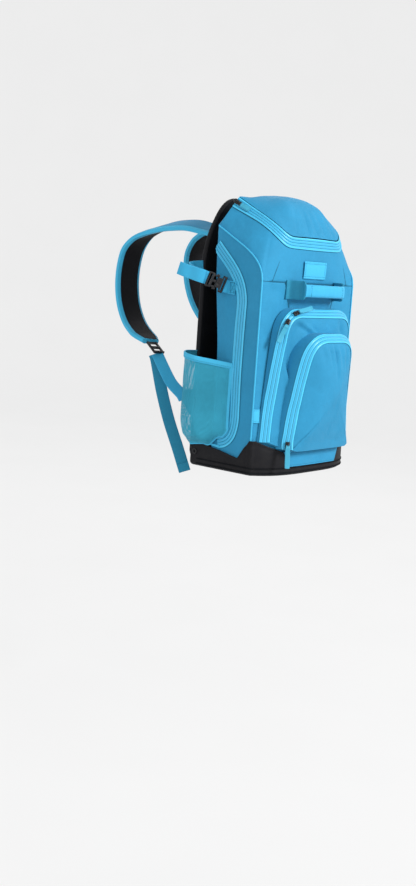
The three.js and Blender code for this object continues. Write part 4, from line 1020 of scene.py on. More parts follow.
class Pocket:
    """A domed pocket: its outline is its zipper's middle line, closed along the boot."""

    ARCH = 130
    FOOT = 44
    BEVEL = 9.0

    def __init__(self, top, top_half, foot_half, top_stand, foot_stand, belly, corner, root_lift, carrier,
                 creases):
        self.top, self.top_half, self.foot_half = top, top_half, foot_half
        self.top_stand, self.foot_stand, self.belly = top_stand, foot_stand, belly
        self.root_lift, self.carrier, self.creases = root_lift, carrier, creases
        self.foot = boot_front_edge(foot_half) + 5
        lean = (foot_half - top_half) / (top - self.foot)
        leg = top_half + lean * corner
        bend = lambda a, b, c: bent(a, b, c, np.linspace(0, 1, 20))
        path = [(-foot_half, self.foot)] + bend((-leg, top - corner), (-top_half, top - 2),
                                                (-top_half + corner, top)) \
            + bend((top_half - corner, top), (top_half, top - 2),
                   (leg, top - corner)) + [(foot_half, self.foot)]
        self.arch = resampled(path, self.ARCH)
        foot_x = np.linspace(foot_half, -foot_half, self.FOOT + 1)[1:-1]
        foot_line = np.array([(x, boot_front_edge(x) + 5) for x in foot_x])
        self.outline = np.concatenate([self.arch, foot_line])
        self.middle = (BOOT_FRONT + top) / 2
        self.lip = self.spread(-self.BEVEL, -2)
        self.shoulder = self.spread(self.BEVEL, 0)
        self.root = self.spread(self.BEVEL + 1, 0)
        angle = np.arctan2(self.lip[:, 1] - self.middle, self.lip[:, 0])
        order = np.argsort(angle)
        self.angles = angle[order]
        self.reaches = np.hypot(self.lip[:, 0], self.lip[:, 1] - self.middle)[order]

    def spread(self, arch_move, foot_move):
        """The outline moved outwards in the front's plane."""
        count = len(self.outline)
        after = np.roll(self.outline, -1, axis=0)
        before = np.roll(self.outline, 1, axis=0)
        way = after - before
        way /= np.linalg.norm(way, axis=1, keepdims=True)
        out = np.stack([-way[:, 1], way[:, 0]], axis=1)
        for corner in (0, self.ARCH):
            out[corner] = (np.sign(self.outline[corner, 0]), 0)
        move = np.where(np.arange(count) <= self.ARCH, arch_move, foot_move)
        return self.outline + out * move[:, None]

    def stand(self, z):
        return mix(self.foot_stand, self.top_stand, clamp01((z - self.foot) / (self.top - self.foot)))

    def near(self, x, z):
        """How near a place of the face lies to the lip, from 0 in the middle to 1 on it."""
        reach = np.interp(math.atan2(z - self.middle, x), self.angles, self.reaches, period=2 * math.pi)
        return min(1.0, math.hypot(x, z - self.middle) / reach)

    def face(self, x, z, near=None):
        near = self.near(x, z) if near is None else near
        full = self.belly * (1 - near ** 2.4)
        return self.carrier(x, z) - self.stand(z) - self.BEVEL * 0.6 - full \
            + self.creases(x, z) * min(1.0, (1 - near) * 7)

    def rows(self):
        """Rows of the pocket's cloth from its root over the gusset and the lip to the face's middle."""
        def row(places, depth):
            return [(x, self.carrier(x, z) - depth(z), z) for x, z in places]
        high = lambda z: max(5.4, self.stand(z) - self.BEVEL * 0.9)
        root = np.array(row(self.root, lambda z: self.root_lift))
        shoulder = np.array(row(self.shoulder, high))
        lip = np.array(row(self.lip, lambda z: self.stand(z) + self.BEVEL * 0.6))
        rows = [mix(root, shoulder, t) for t in (0, 0.1, 0.25, 0.4, 0.55, 0.7, 0.82, 0.92)]
        rows += [mix(shoulder, lip, t) for t in (0, 0.06, 0.2, 0.4, 0.6, 0.8, 0.94)]
        for share in (1, 0.985, 0.965, 0.94, 0.91, 0.88, 0.85, 0.82, 0.785, 0.75, 0.715, 0.68, 0.64, 0.6,
                      0.56, 0.52,
                      0.48, 0.44, 0.4, 0.36, 0.32, 0.28, 0.24, 0.2, 0.16, 0.12, 0.08, 0.04, 0.0):
            line = []
            for x, z in self.lip:
                px, pz = x * share, mix(self.middle, z, share)
                line.append((px, self.face(px, pz, share), pz))
            rows.append(np.array(line))
        return np.array([np.concatenate([r, r[:1]]) for r in rows])

    def band(self, count, start=0.0, end=1.0):
        """The zipper's band from the gusset's edge to the lip, along the arch."""
        arch = slice(0, self.ARCH + 1)
        high = lambda z: max(5.4, self.stand(z) - self.BEVEL * 0.9)
        outer = np.array([(x, self.carrier(x, z) - high(z), z) for x, z in self.shoulder[arch]])
        inner = np.array([(x, self.carrier(x, z) - self.stand(z) - self.BEVEL * 0.6, z)
                          for x, z in self.lip[arch]])
        return np.array([mix(outer, inner, mix(start, end, t)) for t in np.linspace(0, 1, count)])

    def place(self, share):
        """Middle of the zipper at a share of the arch, with its direction and way out."""
        band = self.band(3)
        spot = share * self.ARCH
        k = min(int(spot), self.ARCH - 1)
        center = mix(band[1][k], band[1][k + 1], spot - k)
        along = band[1][min(k + 3, self.ARCH)] - band[1][max(k - 2, 0)]
        along /= np.linalg.norm(along)
        out = np.cross(band[2][k] - band[0][k], along)
        out /= np.linalg.norm(out)
        return center, along, out if out[1] < 0 else -out


boot_side_edge_at = Curve((0, BOOT_REAR), (0.3, BOOT_SIDE), (0.56, mix(BOOT_SIDE, BOOT_DIP, 0.4)),
                          (0.83, BOOT_DIP),
                          (0.91, mix(BOOT_DIP, BOOT_CORNER, 0.55)), (1, BOOT_CORNER))
boot_front_edge_at = Curve((0, BOOT_FRONT), (0.55, BOOT_FRONT), (0.82, mix(BOOT_FRONT, BOOT_CORNER, 0.6)),
                           (0.97, BOOT_CORNER), (1, BOOT_CORNER))


def boot_side_edge(depth):
    """Straight runs between the rows, as the boot's cloth is cut."""
    return float(np.interp(depth / BODY_DEPTH, boot_side_edge_at.x, boot_side_edge_at.y))


def boot_front_edge(x):
    return float(np.interp(abs(x) / BODY_HALF, boot_front_edge_at.x, boot_front_edge_at.y))


def boot_front_y(x, z):
    return front_y(x, z) - 4.8


CREASE = {"depth": 4.5}


def upper_creases(x, z):
    """Creases of the upper pocket's face, and the soft ridges beside them."""
    deep = CREASE["depth"]
    total = 0.0
    away, share = to_segment(x, z, -104, 322, -30, 281)
    total += deep * 1.1 * bump(away, 4.5) * (1 - 0.5 * share)
    away, share = to_segment(x, z, -93, 326, -24, 287)
    total -= deep * 0.75 * bump(away, 5) * (1 - 0.4 * share)
    away, share = to_segment(x, z, -82, 330, -17, 292)
    total += deep * 0.6 * bump(away, 3.5) * (1 - 0.5 * share)
    crest = x - float(np.interp(z, (172, 221, 267, 292, 316), (-84, -108, -121, -116, -104)))
    standing = ramp(120, 175, z) * (1 - ramp(300, 322, z))
    total += deep * 1.6 * ramp(0, 15, crest) * (1 - ramp(26, 66, crest)) * standing
    total -= deep * 0.8 * bump(crest, 6) * standing
    away, share = to_segment(x, z, 62, 322, 74, 288)
    total += deep * 0.8 * bump(away, 6)
    away, share = to_segment(x, z, 100, 290, 86, 190)
    total -= deep * 0.8 * bump(away, 9)
    total -= 1.4 * rough(x * 0.03, z * 0.016, 12.5) + 0.5 * rough(x * 0.09, z * 0.05, 3.3)
    return total


def lower_creases(x, z):
    """Gathers under the lower pocket's arch and its softly bulging face."""
    deep = CREASE["depth"]
    total = 0.0
    for at, low, wide, size in ((-7, 200, 4.5, 1.25), (-25, 222, 4, 1.0), (14, 220, 4.5, 0.6),
                                (46, 226, 5, 1.2),
                                (-46, 232, 4.5, 0.8)):
        away, share = to_segment(x, z, at, 274, at + (6 if at < 30 else -14), low)
        total += deep * size * bump(away, wide) * (1 - 0.8 * share)
        away, share = to_segment(x, z, at + 10, 272, at + 14, low + 8)
        total -= deep * 0.5 * size * bump(away, wide) * (1 - 0.8 * share)
    away, share = to_segment(x, z, 30, 235, 44, 120)
    total += 2.2 * bump(away, 18) * (1 - 0.4 * share)
    away, share = to_segment(x, z, -40, 190, -62, 80)
    total -= 1.6 * bump(away, 16)
    total -= 1.8 * rough(x * 0.024, z * 0.013, 21.5) + 0.6 * rough(x * 0.08, z * 0.04, 8.3)
    return total


def upper_pocket():
    return Pocket(328, 110, 140, 27, 7, 8, 40, 2.4, front_y, upper_creases)


def lower_pocket():
    """Its carrier is the upper pocket's even face, and its root is sunk in the creases there."""
    carrier = Pocket(328, 110, 140, 27, 7, 8, 40, 2.4, front_y, lambda x, z: 0.0)
    return Pocket(281, 72, 104, 30, 13, 22, 46, -7.0, carrier.face, lower_creases)


def ridged(count, ridges, height, base=0.5):
    """Heights across a zipper band: ridges with narrow grooves between them."""
    t = np.linspace(0, 1, count)
    return base + height * np.abs(np.sin(math.pi * ridges * t)) ** 0.45


# Operators

class BagOperator:
    """What the operators share."""

    bl_options = {"REGISTER", "UNDO"}

    @property
    def sizes(self):
        return bpy.context.scene.bag_sizes


class BAG_OT_materials(BagOperator, bpy.types.Operator):
    """Make the cloth, webbing, mesh and plastic materials"""
    bl_idname = "bag.materials"
    bl_label = "Materials"

    def execute(self, context):
        CREASE["depth"] = context.scene.bag_sizes.crease / MM
        make_materials(context.scene.bag_colours)
        return {"FINISHED"}


def side_seam_points():
    """The edge between the side panel and the front, where the piping runs."""
    path = []
    reach = PIPING_RADIUS - 0.9
    for along in np.linspace(0.04, 1, 60):
        depth = mix(CHANNEL_TOP_DEPTH, BODY_DEPTH, along)
        z = seam_z(depth)
        forward = max(0.0, along - 0.7) / 0.3
        out = np.array([-1, -0.9 * forward, 0.7 * (1 - forward)])
        path.append(np.array([side_x(depth, z), -depth, z]) + out / np.linalg.norm(out) * reach)
    out = np.array([-1, -0.9, 0]) / math.hypot(1, 0.9)
    for share in np.linspace(0.985, 0, 60):
        path.append(np.array([-BODY_HALF, -BODY_DEPTH, mix(BOOT_CORNER, SEAM_FRONT, share)]) + out * reach)
    return path


class BAG_OT_body(BagOperator, bpy.types.Operator):
    """Make the body's shell with its bat channels, seams and soft folds"""
    bl_idname = "bag.body"
    bl_label = "Body"

    def execute(self, context):
        rows = []
        for w in list(np.linspace(0, 0.96, 24)) + [0.98, 0.99, 0.996]:
            rows.append([column.upper((1 - (1.5 if column.kind == "back" else 12.6) / column.rise) * (1 - w) + (
                0.04 * w if column.kind == "back" else 0)) for column in COLUMNS])
        shares = [1, 0.997, 0.993, 0.988, 0.982] + list(np.linspace(0.97, 0.02, 96))
        for share in shares:
            line = []
            for column in COLUMNS:
                z = mix(BODY_FLOOR, column.seam[2], share)
                line.append(column.low(z))
            rows.append(line)
        grid = [whole_ring(row) for row in rows]
        foot = grid[-1]
        grid += [shrunk(foot, share, BODY_FLOOR) for share in (0.96, 0.5, 0.02, 0)]
        grid = np.array(grid)
        grid = self.seamed(grid)
        piece = cloth_piece("shell_cloth", grid, ring=True, wall=self.sizes.cloth_wall / MM, sharp=50)

        # Faces inside the bat channels take the near-black as painted shade of the channels; faces behind the
        # back panel take it as plain black.
        def lining(x, y, z, normal):
            in_channel = abs(x) > CHANNEL_HALF - 3 and y > -channel_at(z) - 1.2 and z < SEAM_REAR + 3
            return 1 if in_channel or y > -25 else 0
        painted(piece, lining)
        dressed(piece, "body_cloth", [MATERIALS["body"], MATERIALS["lining"]], "main_shell")
        return {"FINISHED"}

    def seamed(self, grid):
        """Draws the cloth in along its seams and puckers it beside them."""
        edge = np.array(side_seam_points())
        near_seam = []
        for row in grid:
            line = []
            for x, y, z in row:
                d = np.min(np.hypot(np.hypot(edge[:, 0] + abs(x), edge[:, 1] - y), edge[:, 2] - z))
                s = 0.0
                if d < 30 and z > BOOT_CORNER:
                    pucker = rough(z * 0.11 + y * 0.09, x * 0.05, 6.2)
                    s += 0.9 * bump(d - 11, 8) * (0.5 + pucker) - 1.2 * bump(d, 3)
                if y < -BODY_DEPTH - 2 and z > 300:
                    e = abs(z - SEAM_FRONT)
                    s += 0.5 * bump(e - 8, 6) * (0.6 + rough(x * 0.1, z * 0.02, 3.2)) - 1.3 * bump(e, 1.6)
                line.append(s)
            near_seam.append(line)
        return raised(grid, near_seam, ring=True)


class BAG_OT_lid(BagOperator, bpy.types.Operator):
    """Make the domed lid with the wrinkles that run in from its zipper"""
    bl_idname = "bag.lid"
    bl_label = "Lid"

    def execute(self, context):
        edge = whole_ring([column.by_zip(LID_ZIP_WIDTH / 2 + 2.1, 1.5) for column in COLUMNS])
        rows = []
        heights = []
        soft = edge[:-1].copy()
        for _ in range(90):
            soft = (np.roll(soft, 1, axis=0) + soft * 2 + np.roll(soft, -1, axis=0)) / 4
        soft = np.concatenate([soft, soft[:1]])
        for w in [0, 0.006, 0.015] + list(np.linspace(0.03, 1, 46)):
            turn = clamp01(w / (1 - LID_RIDGE_SHARE))
            base = mix(edge, soft, ramp(0, 0.3, w))
            ridge = np.stack([edge[:, 0] * 0, edge[:, 1] * 0 - LID_RIDGE_DEPTH, edge[:, 2] * 0 + LID_TOP],
                             axis=1)
            row = mix(base, ridge, w)
            row[:, 2] = mix(base[:, 2], LID_TOP, 1 - (1 - turn) ** LID_FULLNESS)
            rows.append(row)
            heights.append([self.fold(p, w) for p in row])
        grid = raised(np.array(rows), heights, ring=True, inside=(0, -92, 400))
        piece = cloth_piece("lid_cloth", grid, ring=True, wall=self.sizes.cloth_wall / MM,
                            inside=(0, -92, 400))
        dressed(piece, "body_cloth", MATERIALS["body"], "lid_dome")
        return {"FINISHED"}

    def fold(self, point, w):
        x, y, z = point
        fade = ramp(0, 0.05, w) * (1 - ramp(0.75, 1, w))
        fold = 1.5 * rough(x * 0.016, y * 0.016, 8.8) + 0.5 * rough(x * 0.05, y * 0.05, 1.1)
        if y < -100:
            front = ramp(0.0, 0.03, w) * (1 - ramp(0.16, 0.42, w))
            for at, wide, size in ((-62, 5, -1.2), (-38, 6, 0.9), (-20, 4, -1.7), (-8, 5, 1.3), (8, 4, -1.5),
                                   (22, 5, 1.1), (38, 4, -1.4), (56, 6, 0.9), (70, 5, -1.1)):
                lean = at * (1 - w * 0.8)
                fold += size * bump(x - lean, wide) * front
            away = math.hypot(abs(x) - 84, y + 150)
            fold -= 2.2 * bump(away, 16)
            fold += 1.6 * bump(math.hypot(abs(x) - 60, y + 140), 20)
        return fold * fade


class BAG_OT_lid_zipper(BagOperator, bpy.types.Operator):
    """Make the wide ridged band that holds the lid's zipper"""
    bl_idname = "bag.lid_zipper"
    bl_label = "Lid zipper"

    def execute(self, context):
        rows = []
        for t in np.linspace(-0.5, 0.5, 41):
            half = [column.by_zip(t * LID_ZIP_WIDTH) for column in FRONT_COLUMNS]
            half[0] = mix(half[0], half[1], 0.3)
            rows.append(whole_ring(half))
        base = np.array(rows)
        grid = raised(base, ridged(41, 4, self.sizes.ridge / MM))
        piece = cloth_piece("lid_zipper_band", grid, wall=1.5, across=True)
        dressed(piece, "zip_tape", MATERIALS["band4"], "lid_zipper")
        lines = [grid_line(grid, share, 0.0) for share in (0.012, 0.988)]
        thread = stitches("lid_zipper_thread", lines, self.sizes.stitch / MM, self.sizes.stitch_pitch / MM)
        dressed(thread, "zip_tape", MATERIALS["teal_thread"])
        return {"FINISHED"}


def boot_half(z_of):
    """The boot's plan on the left, from the middle of the back to the middle of the front."""
    rear = -PANEL_THICK - 0.3
    points = []
    for x in np.linspace(0, -156, 24):
        points.append((x, rear, z_of(BOOT_REAR)))
    for a in np.linspace(15, 90, 6):
        a = math.radians(a)
        points.append((BOOT_SIDE_X + 6 * (1 - math.sin(a)), rear - 6 * (1 - math.cos(a)), z_of(BOOT_REAR)))
    for along in np.linspace(0.115, 0.975, 56):
        points.append((BOOT_SIDE_X, -along * BODY_DEPTH, z_of(boot_side_edge(along * BODY_DEPTH))))
    z = z_of(BOOT_CORNER)
    end = -157.0
    corner = np.array([BOOT_SIDE_X, boot_front_y(end, z) + 1.5])
    start = np.array([BOOT_SIDE_X, -0.985 * BODY_DEPTH])
    finish = np.array([end, boot_front_y(end, z)])
    for t in np.linspace(0.1, 1, 7):
        p = start * (1 - t) ** 2 + corner * 2 * t * (1 - t) + finish * t * t
        points.append((p[0], p[1], z))
    for x in np.linspace(end + 2, 0, 60):
        z = z_of(boot_front_edge(x))
        points.append((x, boot_front_y(x, z), z))
    return points


class BAG_OT_boot(BagOperator, bpy.types.Operator):
    """Make the black boot with its corner seams, welts and eyelets"""
    bl_idname = "bag.boot"
    bl_label = "Boot"

    def execute(self, context):
        rows = []
        for share in [1, 0.985, 0.96, 0.93] + list(np.linspace(0.88, 0.03, 18)):
            rows.append(whole_ring(boot_half(lambda edge: mix(BOOT_ROUND, edge, share))))
        foot = whole_ring(boot_half(lambda edge: BOOT_ROUND))
        for a in np.linspace(0, 90, 8):
            a = math.radians(a)
            rows.append(shrunk(foot, 1 - BOOT_ROUND * (1 - math.cos(a)) / 165,
                               BOOT_ROUND * (1 - math.sin(a))))
        for share in (0.9, 0.8, 0.65, 0.5, 0.35, 0.2, 0.05, 0):
            rows.append(shrunk(foot, share, 0))
        grid = np.array(rows)
        heights = np.zeros(grid.shape[:2])
        for r, row in enumerate(grid):
            for c, (x, y, z) in enumerate(row):
                if z < 3:
                    continue
                wave = 0.7 * rough(x * 0.03, y * 0.03, z * 0.04 + 2) - 0.9 * bump(abs(y) - 160,
                                                                                  1.8) * (abs(x) > 150)
                heights[r, c] = wave * ramp(3, 14, z)
                if r <= 3:
                    heights[r, c] += (0.5, 1.0, 1.0, 0.4)[r]
        grid = raised(grid, heights, ring=True, inside=(0, -90, 40))
        piece = cloth_piece("boot_shell", grid, ring=True, wall=2.2, inside=(0, -90, 40), sharp=50)
        dressed(piece, "boot_cloth", MATERIALS["boot"], "base_boot")
        for name, height, radius in (("boot_welt_low", 5.5, 1.7), ("boot_welt_high", 15.5, 1.3)):
            line = whole_ring(boot_half(lambda edge: height))
            inset = BOOT_ROUND * (1 - math.cos(math.asin(clamp01((BOOT_ROUND - height) / BOOT_ROUND))))
            line = shrunk(line, 1 - inset / 165, height)[:-1]
            front = [p for p in line if p[1] < -30]
            path = resampled(front, 300)
            path = path + (path - np.array([0, -90, 0])) * [0.004, 0.004, 0]
            welt = swept_piece(name, path, (0, 0, 1), round_section(radius, 8))
            dressed(welt, "boot_cloth", MATERIALS["lining"])
        top = grid_line(grid[:6], 0.62, 0.2, ring=True, inside=(0, -90, 40))
        thread = stitches("boot_thread", [top], self.sizes.stitch / MM, self.sizes.stitch_pitch / MM)
        dressed(thread, "boot_cloth", MATERIALS["black_thread"])
        both_sides(self.eyelet, "eyelet_ring", "black_plastic", MATERIALS["plastic"], "boot_eyelet")
        return {"FINISHED"}

    def eyelet(self, name):
        ring = hard_tube("ring", 4.5, 1.5, flat=1)
        ring.data.transform(Matrix.Scale(0.75, 4, (0, 0, 1)))
        center = (BOOT_SIDE_X - 1.0, -0.16 * BODY_DEPTH, BOOT_REAR - 10)
        piece = joined(name, ring)
        return set_in_place(piece, center, (0, -1, 0), (0, 0, 1))


class BAG_OT_pockets(BagOperator, bpy.types.Operator):
    """Make the two front pockets, their zipper bands and stitching"""
    bl_idname = "bag.pockets"
    bl_label = "Front pockets"

    def execute(self, context):
        for name, pocket in (("upper", upper_pocket()), ("lower", lower_pocket())):
            grid = pocket.rows()
            piece = cloth_piece(f"{name}_pocket_cloth", grid, ring=True, wall=self.sizes.cloth_wall / MM)
            dressed(piece, "body_cloth", MATERIALS["body"], f"{name}_pocket")
            base = pocket.band(33, 0.02, 0.98)
            band = raised(base, ridged(33, 3, self.sizes.ridge / MM, 0.9))
            strip = cloth_piece(f"{name}_zipper_band", band, wall=1.4, across=True)
            dressed(strip, "zip_tape", MATERIALS["band3"], f"{name}_pocket_zipper")
            lines = [grid_line(band, share, 0.0) for share in (0.015, 0.985)]
            thread = stitches(f"{name}_pocket_thread", lines, self.sizes.stitch / MM,
                              self.sizes.stitch_pitch / MM)
            dressed(thread, "zip_tape", MATERIALS["teal_thread"])
        return {"FINISHED"}


def side_zip_path():
    start = channel_at(SIDE_ZIP_REAR) + 4
    top = SIDE_ZIP_REAR - SIDE_ZIP_SLOPE * (SIDE_ZIP_DEPTH - start)
    bend = lambda a, b, c: bent(a, b, c, np.linspace(0, 1, 24))
    path = [np.array((start, SIDE_ZIP_REAR))]
    path += bend((SIDE_ZIP_DEPTH - 44, top + SIDE_ZIP_SLOPE * 44), (SIDE_ZIP_DEPTH, top),
                 (SIDE_ZIP_DEPTH, top - 44))
    path += bend((SIDE_ZIP_DEPTH, SIDE_ZIP_FOOT + 60), (SIDE_ZIP_DEPTH, SIDE_ZIP_FOOT + 4),
                 (SIDE_ZIP_DEPTH - 39, SIDE_ZIP_FOOT))
    return resampled(path, 170)


def side_band(count, width, lift):
    """Rows of a band on the left side panel along the side zipper's line."""
    path = side_zip_path()
    way = np.gradient(path, axis=0)
    way /= np.linalg.norm(way, axis=1, keepdims=True)
    rows = []
    for k, t in enumerate(np.linspace(0.5, -0.5, count)):
        line = []
        for (depth, z), (wd, wz) in zip(path, way):
            d = depth - wz * t * width
            h = z + wd * t * width
            d = max(d, channel_at(h) + 3)
            line.append((side_x(d, h) - lift[k], -d, h))
        rows.append(line)
    return np.array(rows)


class BAG_OT_side_zippers(BagOperator, bpy.types.Operator):
    """Make the ridged zipper bands on the side panels"""
    bl_idname = "bag.side_zippers"
    bl_label = "Side zippers"

    def execute(self, context):
        lift = ridged(41, 4, self.sizes.ridge / MM, 0.9)
        grid = side_band(41, SIDE_ZIP_WIDTH, lift)
        make = lambda name: cloth_piece(name, grid, wall=1.4, across=True)
        both_sides(make, "side_zipper_band", "zip_tape", MATERIALS["band4"], "side_zipper")
        foot = [(SIDE_ZIP_DEPTH - 39 - t, boot_side_edge(SIDE_ZIP_DEPTH - 39 - t) + mix(6, 2.5, t / 66))
                for t in np.linspace(-6, 66, 40)]
        path = [(BOOT_SIDE_X + 0.4 - 0.8 * ramp(0, 12, depth - 19), -depth, z) for depth, z in foot]
        make = lambda name: swept_piece(name, path, (0, 0, 1), flat_section(5, 2.0))
        left = make("boot_edge_binding_left")
        for piece in (left, mirrored_copy(left, "boot_edge_binding_right")):
            dressed(piece, "zip_tape", MATERIALS["trim"])
        lines = [grid_line(grid, share, 0.0) for share in (0.012, 0.988)]
        thread = stitches("side_zipper_thread", lines + flipped(lines), self.sizes.stitch / MM,
                          self.sizes.stitch_pitch / MM)
        dressed(thread, "zip_tape", MATERIALS["teal_thread"])
        return {"FINISHED"}


class BAG_OT_seams(BagOperator, bpy.types.Operator):
    """Make the piping and the seams of the upper front"""
    bl_idname = "bag.seams"
    bl_label = "Piping and seams"

    def execute(self, context):
        path = resampled(side_seam_points(), 260)
        # The piping takes the lighter trim colour, which paints the cord's highlight line; its own cloth
        # matches the body.
        make = lambda name: swept_piece(name, path, (1, -1, 0), round_section(PIPING_RADIUS, 12))
        both_sides(make, "piping_cord", "trim_cloth", MATERIALS["trim"], "side_piping")
        section = [(-0.9, 0), (-0.5, 0.5), (0.5, 0.5), (0.9, 0), (0, -0.3)]

        def laid(points, lift=0.5):
            return [np.array([x, front_y(x, z) - lift, z]) for x, z in points]

        def upper_line(a, b):
            """A line on the panel over the front seam, in shares of the panel's rise."""
            out = []
            for t in np.linspace(0, 1, 30):
                at = mix(a[0], b[0], t)
                column = Column("front", at)
                p = column.upper(mix(a[1], b[1], t))
                out.append(p + np.array([0, -0.5, 0.1]))
            return out
        lines = {
            "corner_seam": upper_line((0.82, 0.0), (0.80, 0.86)),
            "handle_seam": laid([(mix(-92, -70, t), mix(387, 330, t)) for t in np.linspace(0, 1, 20)]),
        }
        for name, line in lines.items():
            make = lambda made: swept_piece(made, resampled(line, 60), (1, 0, 0.4), section)
            left = make(f"{name}_left")
            right = mirrored_copy(left, f"{name}_right")
            for piece in (left, right):
                dressed(piece, "body_cloth", MATERIALS["teal_thread"])
        front = laid([(x, SEAM_FRONT) for x in np.linspace(-158, 158, 120)], 0.2)
        piece = swept_piece("front_seam", front, (0, 0, 1), section)
        dressed(piece, "body_cloth", MATERIALS["teal_thread"])
        return {"FINISHED"}


def pocket_plan(bulge):
    reach = BAT_RADIUS + 2
    front_depth = SIDE_ZIP_DEPTH - SIDE_ZIP_WIDTH / 2 - 1
    side = BOOT_SIDE_X - 1.5
    full = [(side_x(front_depth, HEM_FRONT) - 2.1, -front_depth),
            (-BAT_REACH - reach * 0.55, -mix(front_depth, BAT_DEPTH, 0.55))]
    for k in range(7):
        a = math.radians(mix(200, 92, k / 6))
        full.append((-BAT_REACH + reach * math.cos(a), -BAT_DEPTH + reach * math.sin(a)))
    end = (-PANEL_HALF - 1.5, -PANEL_THICK / 2)
    full.append(end)
    points = []
    for k, p in enumerate(full):
        share = k / (len(full) - 1)
        flat = (side, mix(-front_depth, -PANEL_THICK - 2.3, min(1, share * 1.15)))
        points.append(end if k == len(full) - 1 else mix(np.array(flat), np.array(p), bulge))
    return smooth_path(np.array([(x, y, 0) for x, y in points]), 70)


def hem_z(y):
    return mix(HEM_FRONT, HEM_REAR, clamp01(1 + y / 110.5))


bulge_at = Curve((0, 0.04), (0.05, 0.5), (0.13, 0.86), (0.3, 1), (1, 1))


def bat_pocket_rows(ups):
    rows = []
    for up in ups:
        plan = pocket_plan(bulge_at(up))
        line = []
        for x, y, _ in plan:
            depth = max(-y, 0)
            foot = boot_side_edge(depth) + 2 + 26 * ramp(60, 94, depth) + 24 * clamp01((depth - 92) / 20) ** 2
            line.append((x, y, mix(foot, hem_z(y), up)))
        rows.append(line)
    return np.array(rows)


class BAG_OT_bat_pockets(BagOperator, bpy.types.Operator):
    """Make the mesh bat pockets with their bound upper hems"""
    bl_idname = "bag.bat_pockets"
    bl_label = "Bat pockets"

    def execute(self, context):
        grid = bat_pocket_rows(np.linspace(0, 1, 60))
        heights = [[1.6 * rough(p[1] * 0.03, p[2] * 0.018, 4.4) * ramp(0, 0.15,
                                                                       r / 59) * (1 - ramp(0.85, 1, r / 59))
                    for p in row] for r, row in enumerate(grid)]
        inside = (-150, -50, 150)
        grid = raised(grid, heights, inside=inside)
        make = lambda name: cloth_piece(name, grid, inside=inside)
        both_sides(make, "bat_pocket_mesh", "mesh", MATERIALS["mesh"], "mesh_pocket")
        top = np.array(bat_pocket_rows([1.0])[0])
        rows = []
        profile = [(-HEM_WIDTH, -0.6), (-HEM_WIDTH + 0.6, 1.4), (-HEM_WIDTH + 3, 2.0), (-HEM_WIDTH / 2, 2.1),
                   (-2.5, 2.2),
                   (-0.7, 2.0), (0.4, 0.8), (0.3, -0.6), (-1.0, -1.2)]
        normal = grid_normals(np.array([top - [0, 0, 5], top]), inside=inside)[1]
        for drop, out in profile:
            rows.append(top + normal * out + np.array([0, 0, drop]))
        hem = np.array(rows)
        make = lambda name: cloth_piece(name, hem, inside=inside, sharp=60)
        both_sides(make, "bat_pocket_hem", "trim_cloth", MATERIALS["trim"], "mesh_hem")
        lines = [(hem[2] + normal * 0.1 + [0, 0, 0.6], normal)]
        thread = stitches("bat_pocket_thread", lines + flipped(lines), self.sizes.stitch / MM,
                          self.sizes.stitch_pitch / MM)
        dressed(thread, "trim_cloth", MATERIALS["teal_thread"])
        edge = grid[:, 0] + [-0.4, 0, 0]
        make = lambda name: swept_piece(name, resampled(edge, 90), (0, 1, 0), flat_section(7, 1.6))
        binding = make("bat_pocket_edge_left")
        other = mirrored_copy(binding, "bat_pocket_edge_right")
        for piece in (binding, other):
            dressed(piece, "trim_cloth", MATERIALS["trim"])
        foot = np.array(grid[0]) + [-0.8, 0, 1.5]
        binding = swept_piece("bat_pocket_foot_left", resampled(foot, 90), (0, 0, 1), flat_section(6, 1.6))
        other = mirrored_copy(binding, "bat_pocket_foot_right")
        for piece in (binding, other):
            dressed(piece, "trim_cloth", MATERIALS["trim"])
        return {"FINISHED"}


def strap_places():
    reach = BAT_RADIUS + 5
    rise = lambda share: mix(BAT_STRAP_FRONT, BAT_STRAP_REAR, share)

    def around(degrees, share, extra=0.0):
        a = math.radians(degrees)
        return np.array([-BAT_REACH + (reach + extra) * math.cos(a),
                         -BAT_DEPTH + (reach + extra) * math.sin(a), rise(share)])
    on_side = lambda depth: np.array([side_x(depth, rise(0)) - 4.0, -depth, rise(0)])
    sewn = on_side(94)
    front = np.array([-BODY_HALF - SIDE_BELLY - 4 - 7, -86, rise(0.08)])
    return sewn, on_side(91), front, around(222, 0.42), around, rise


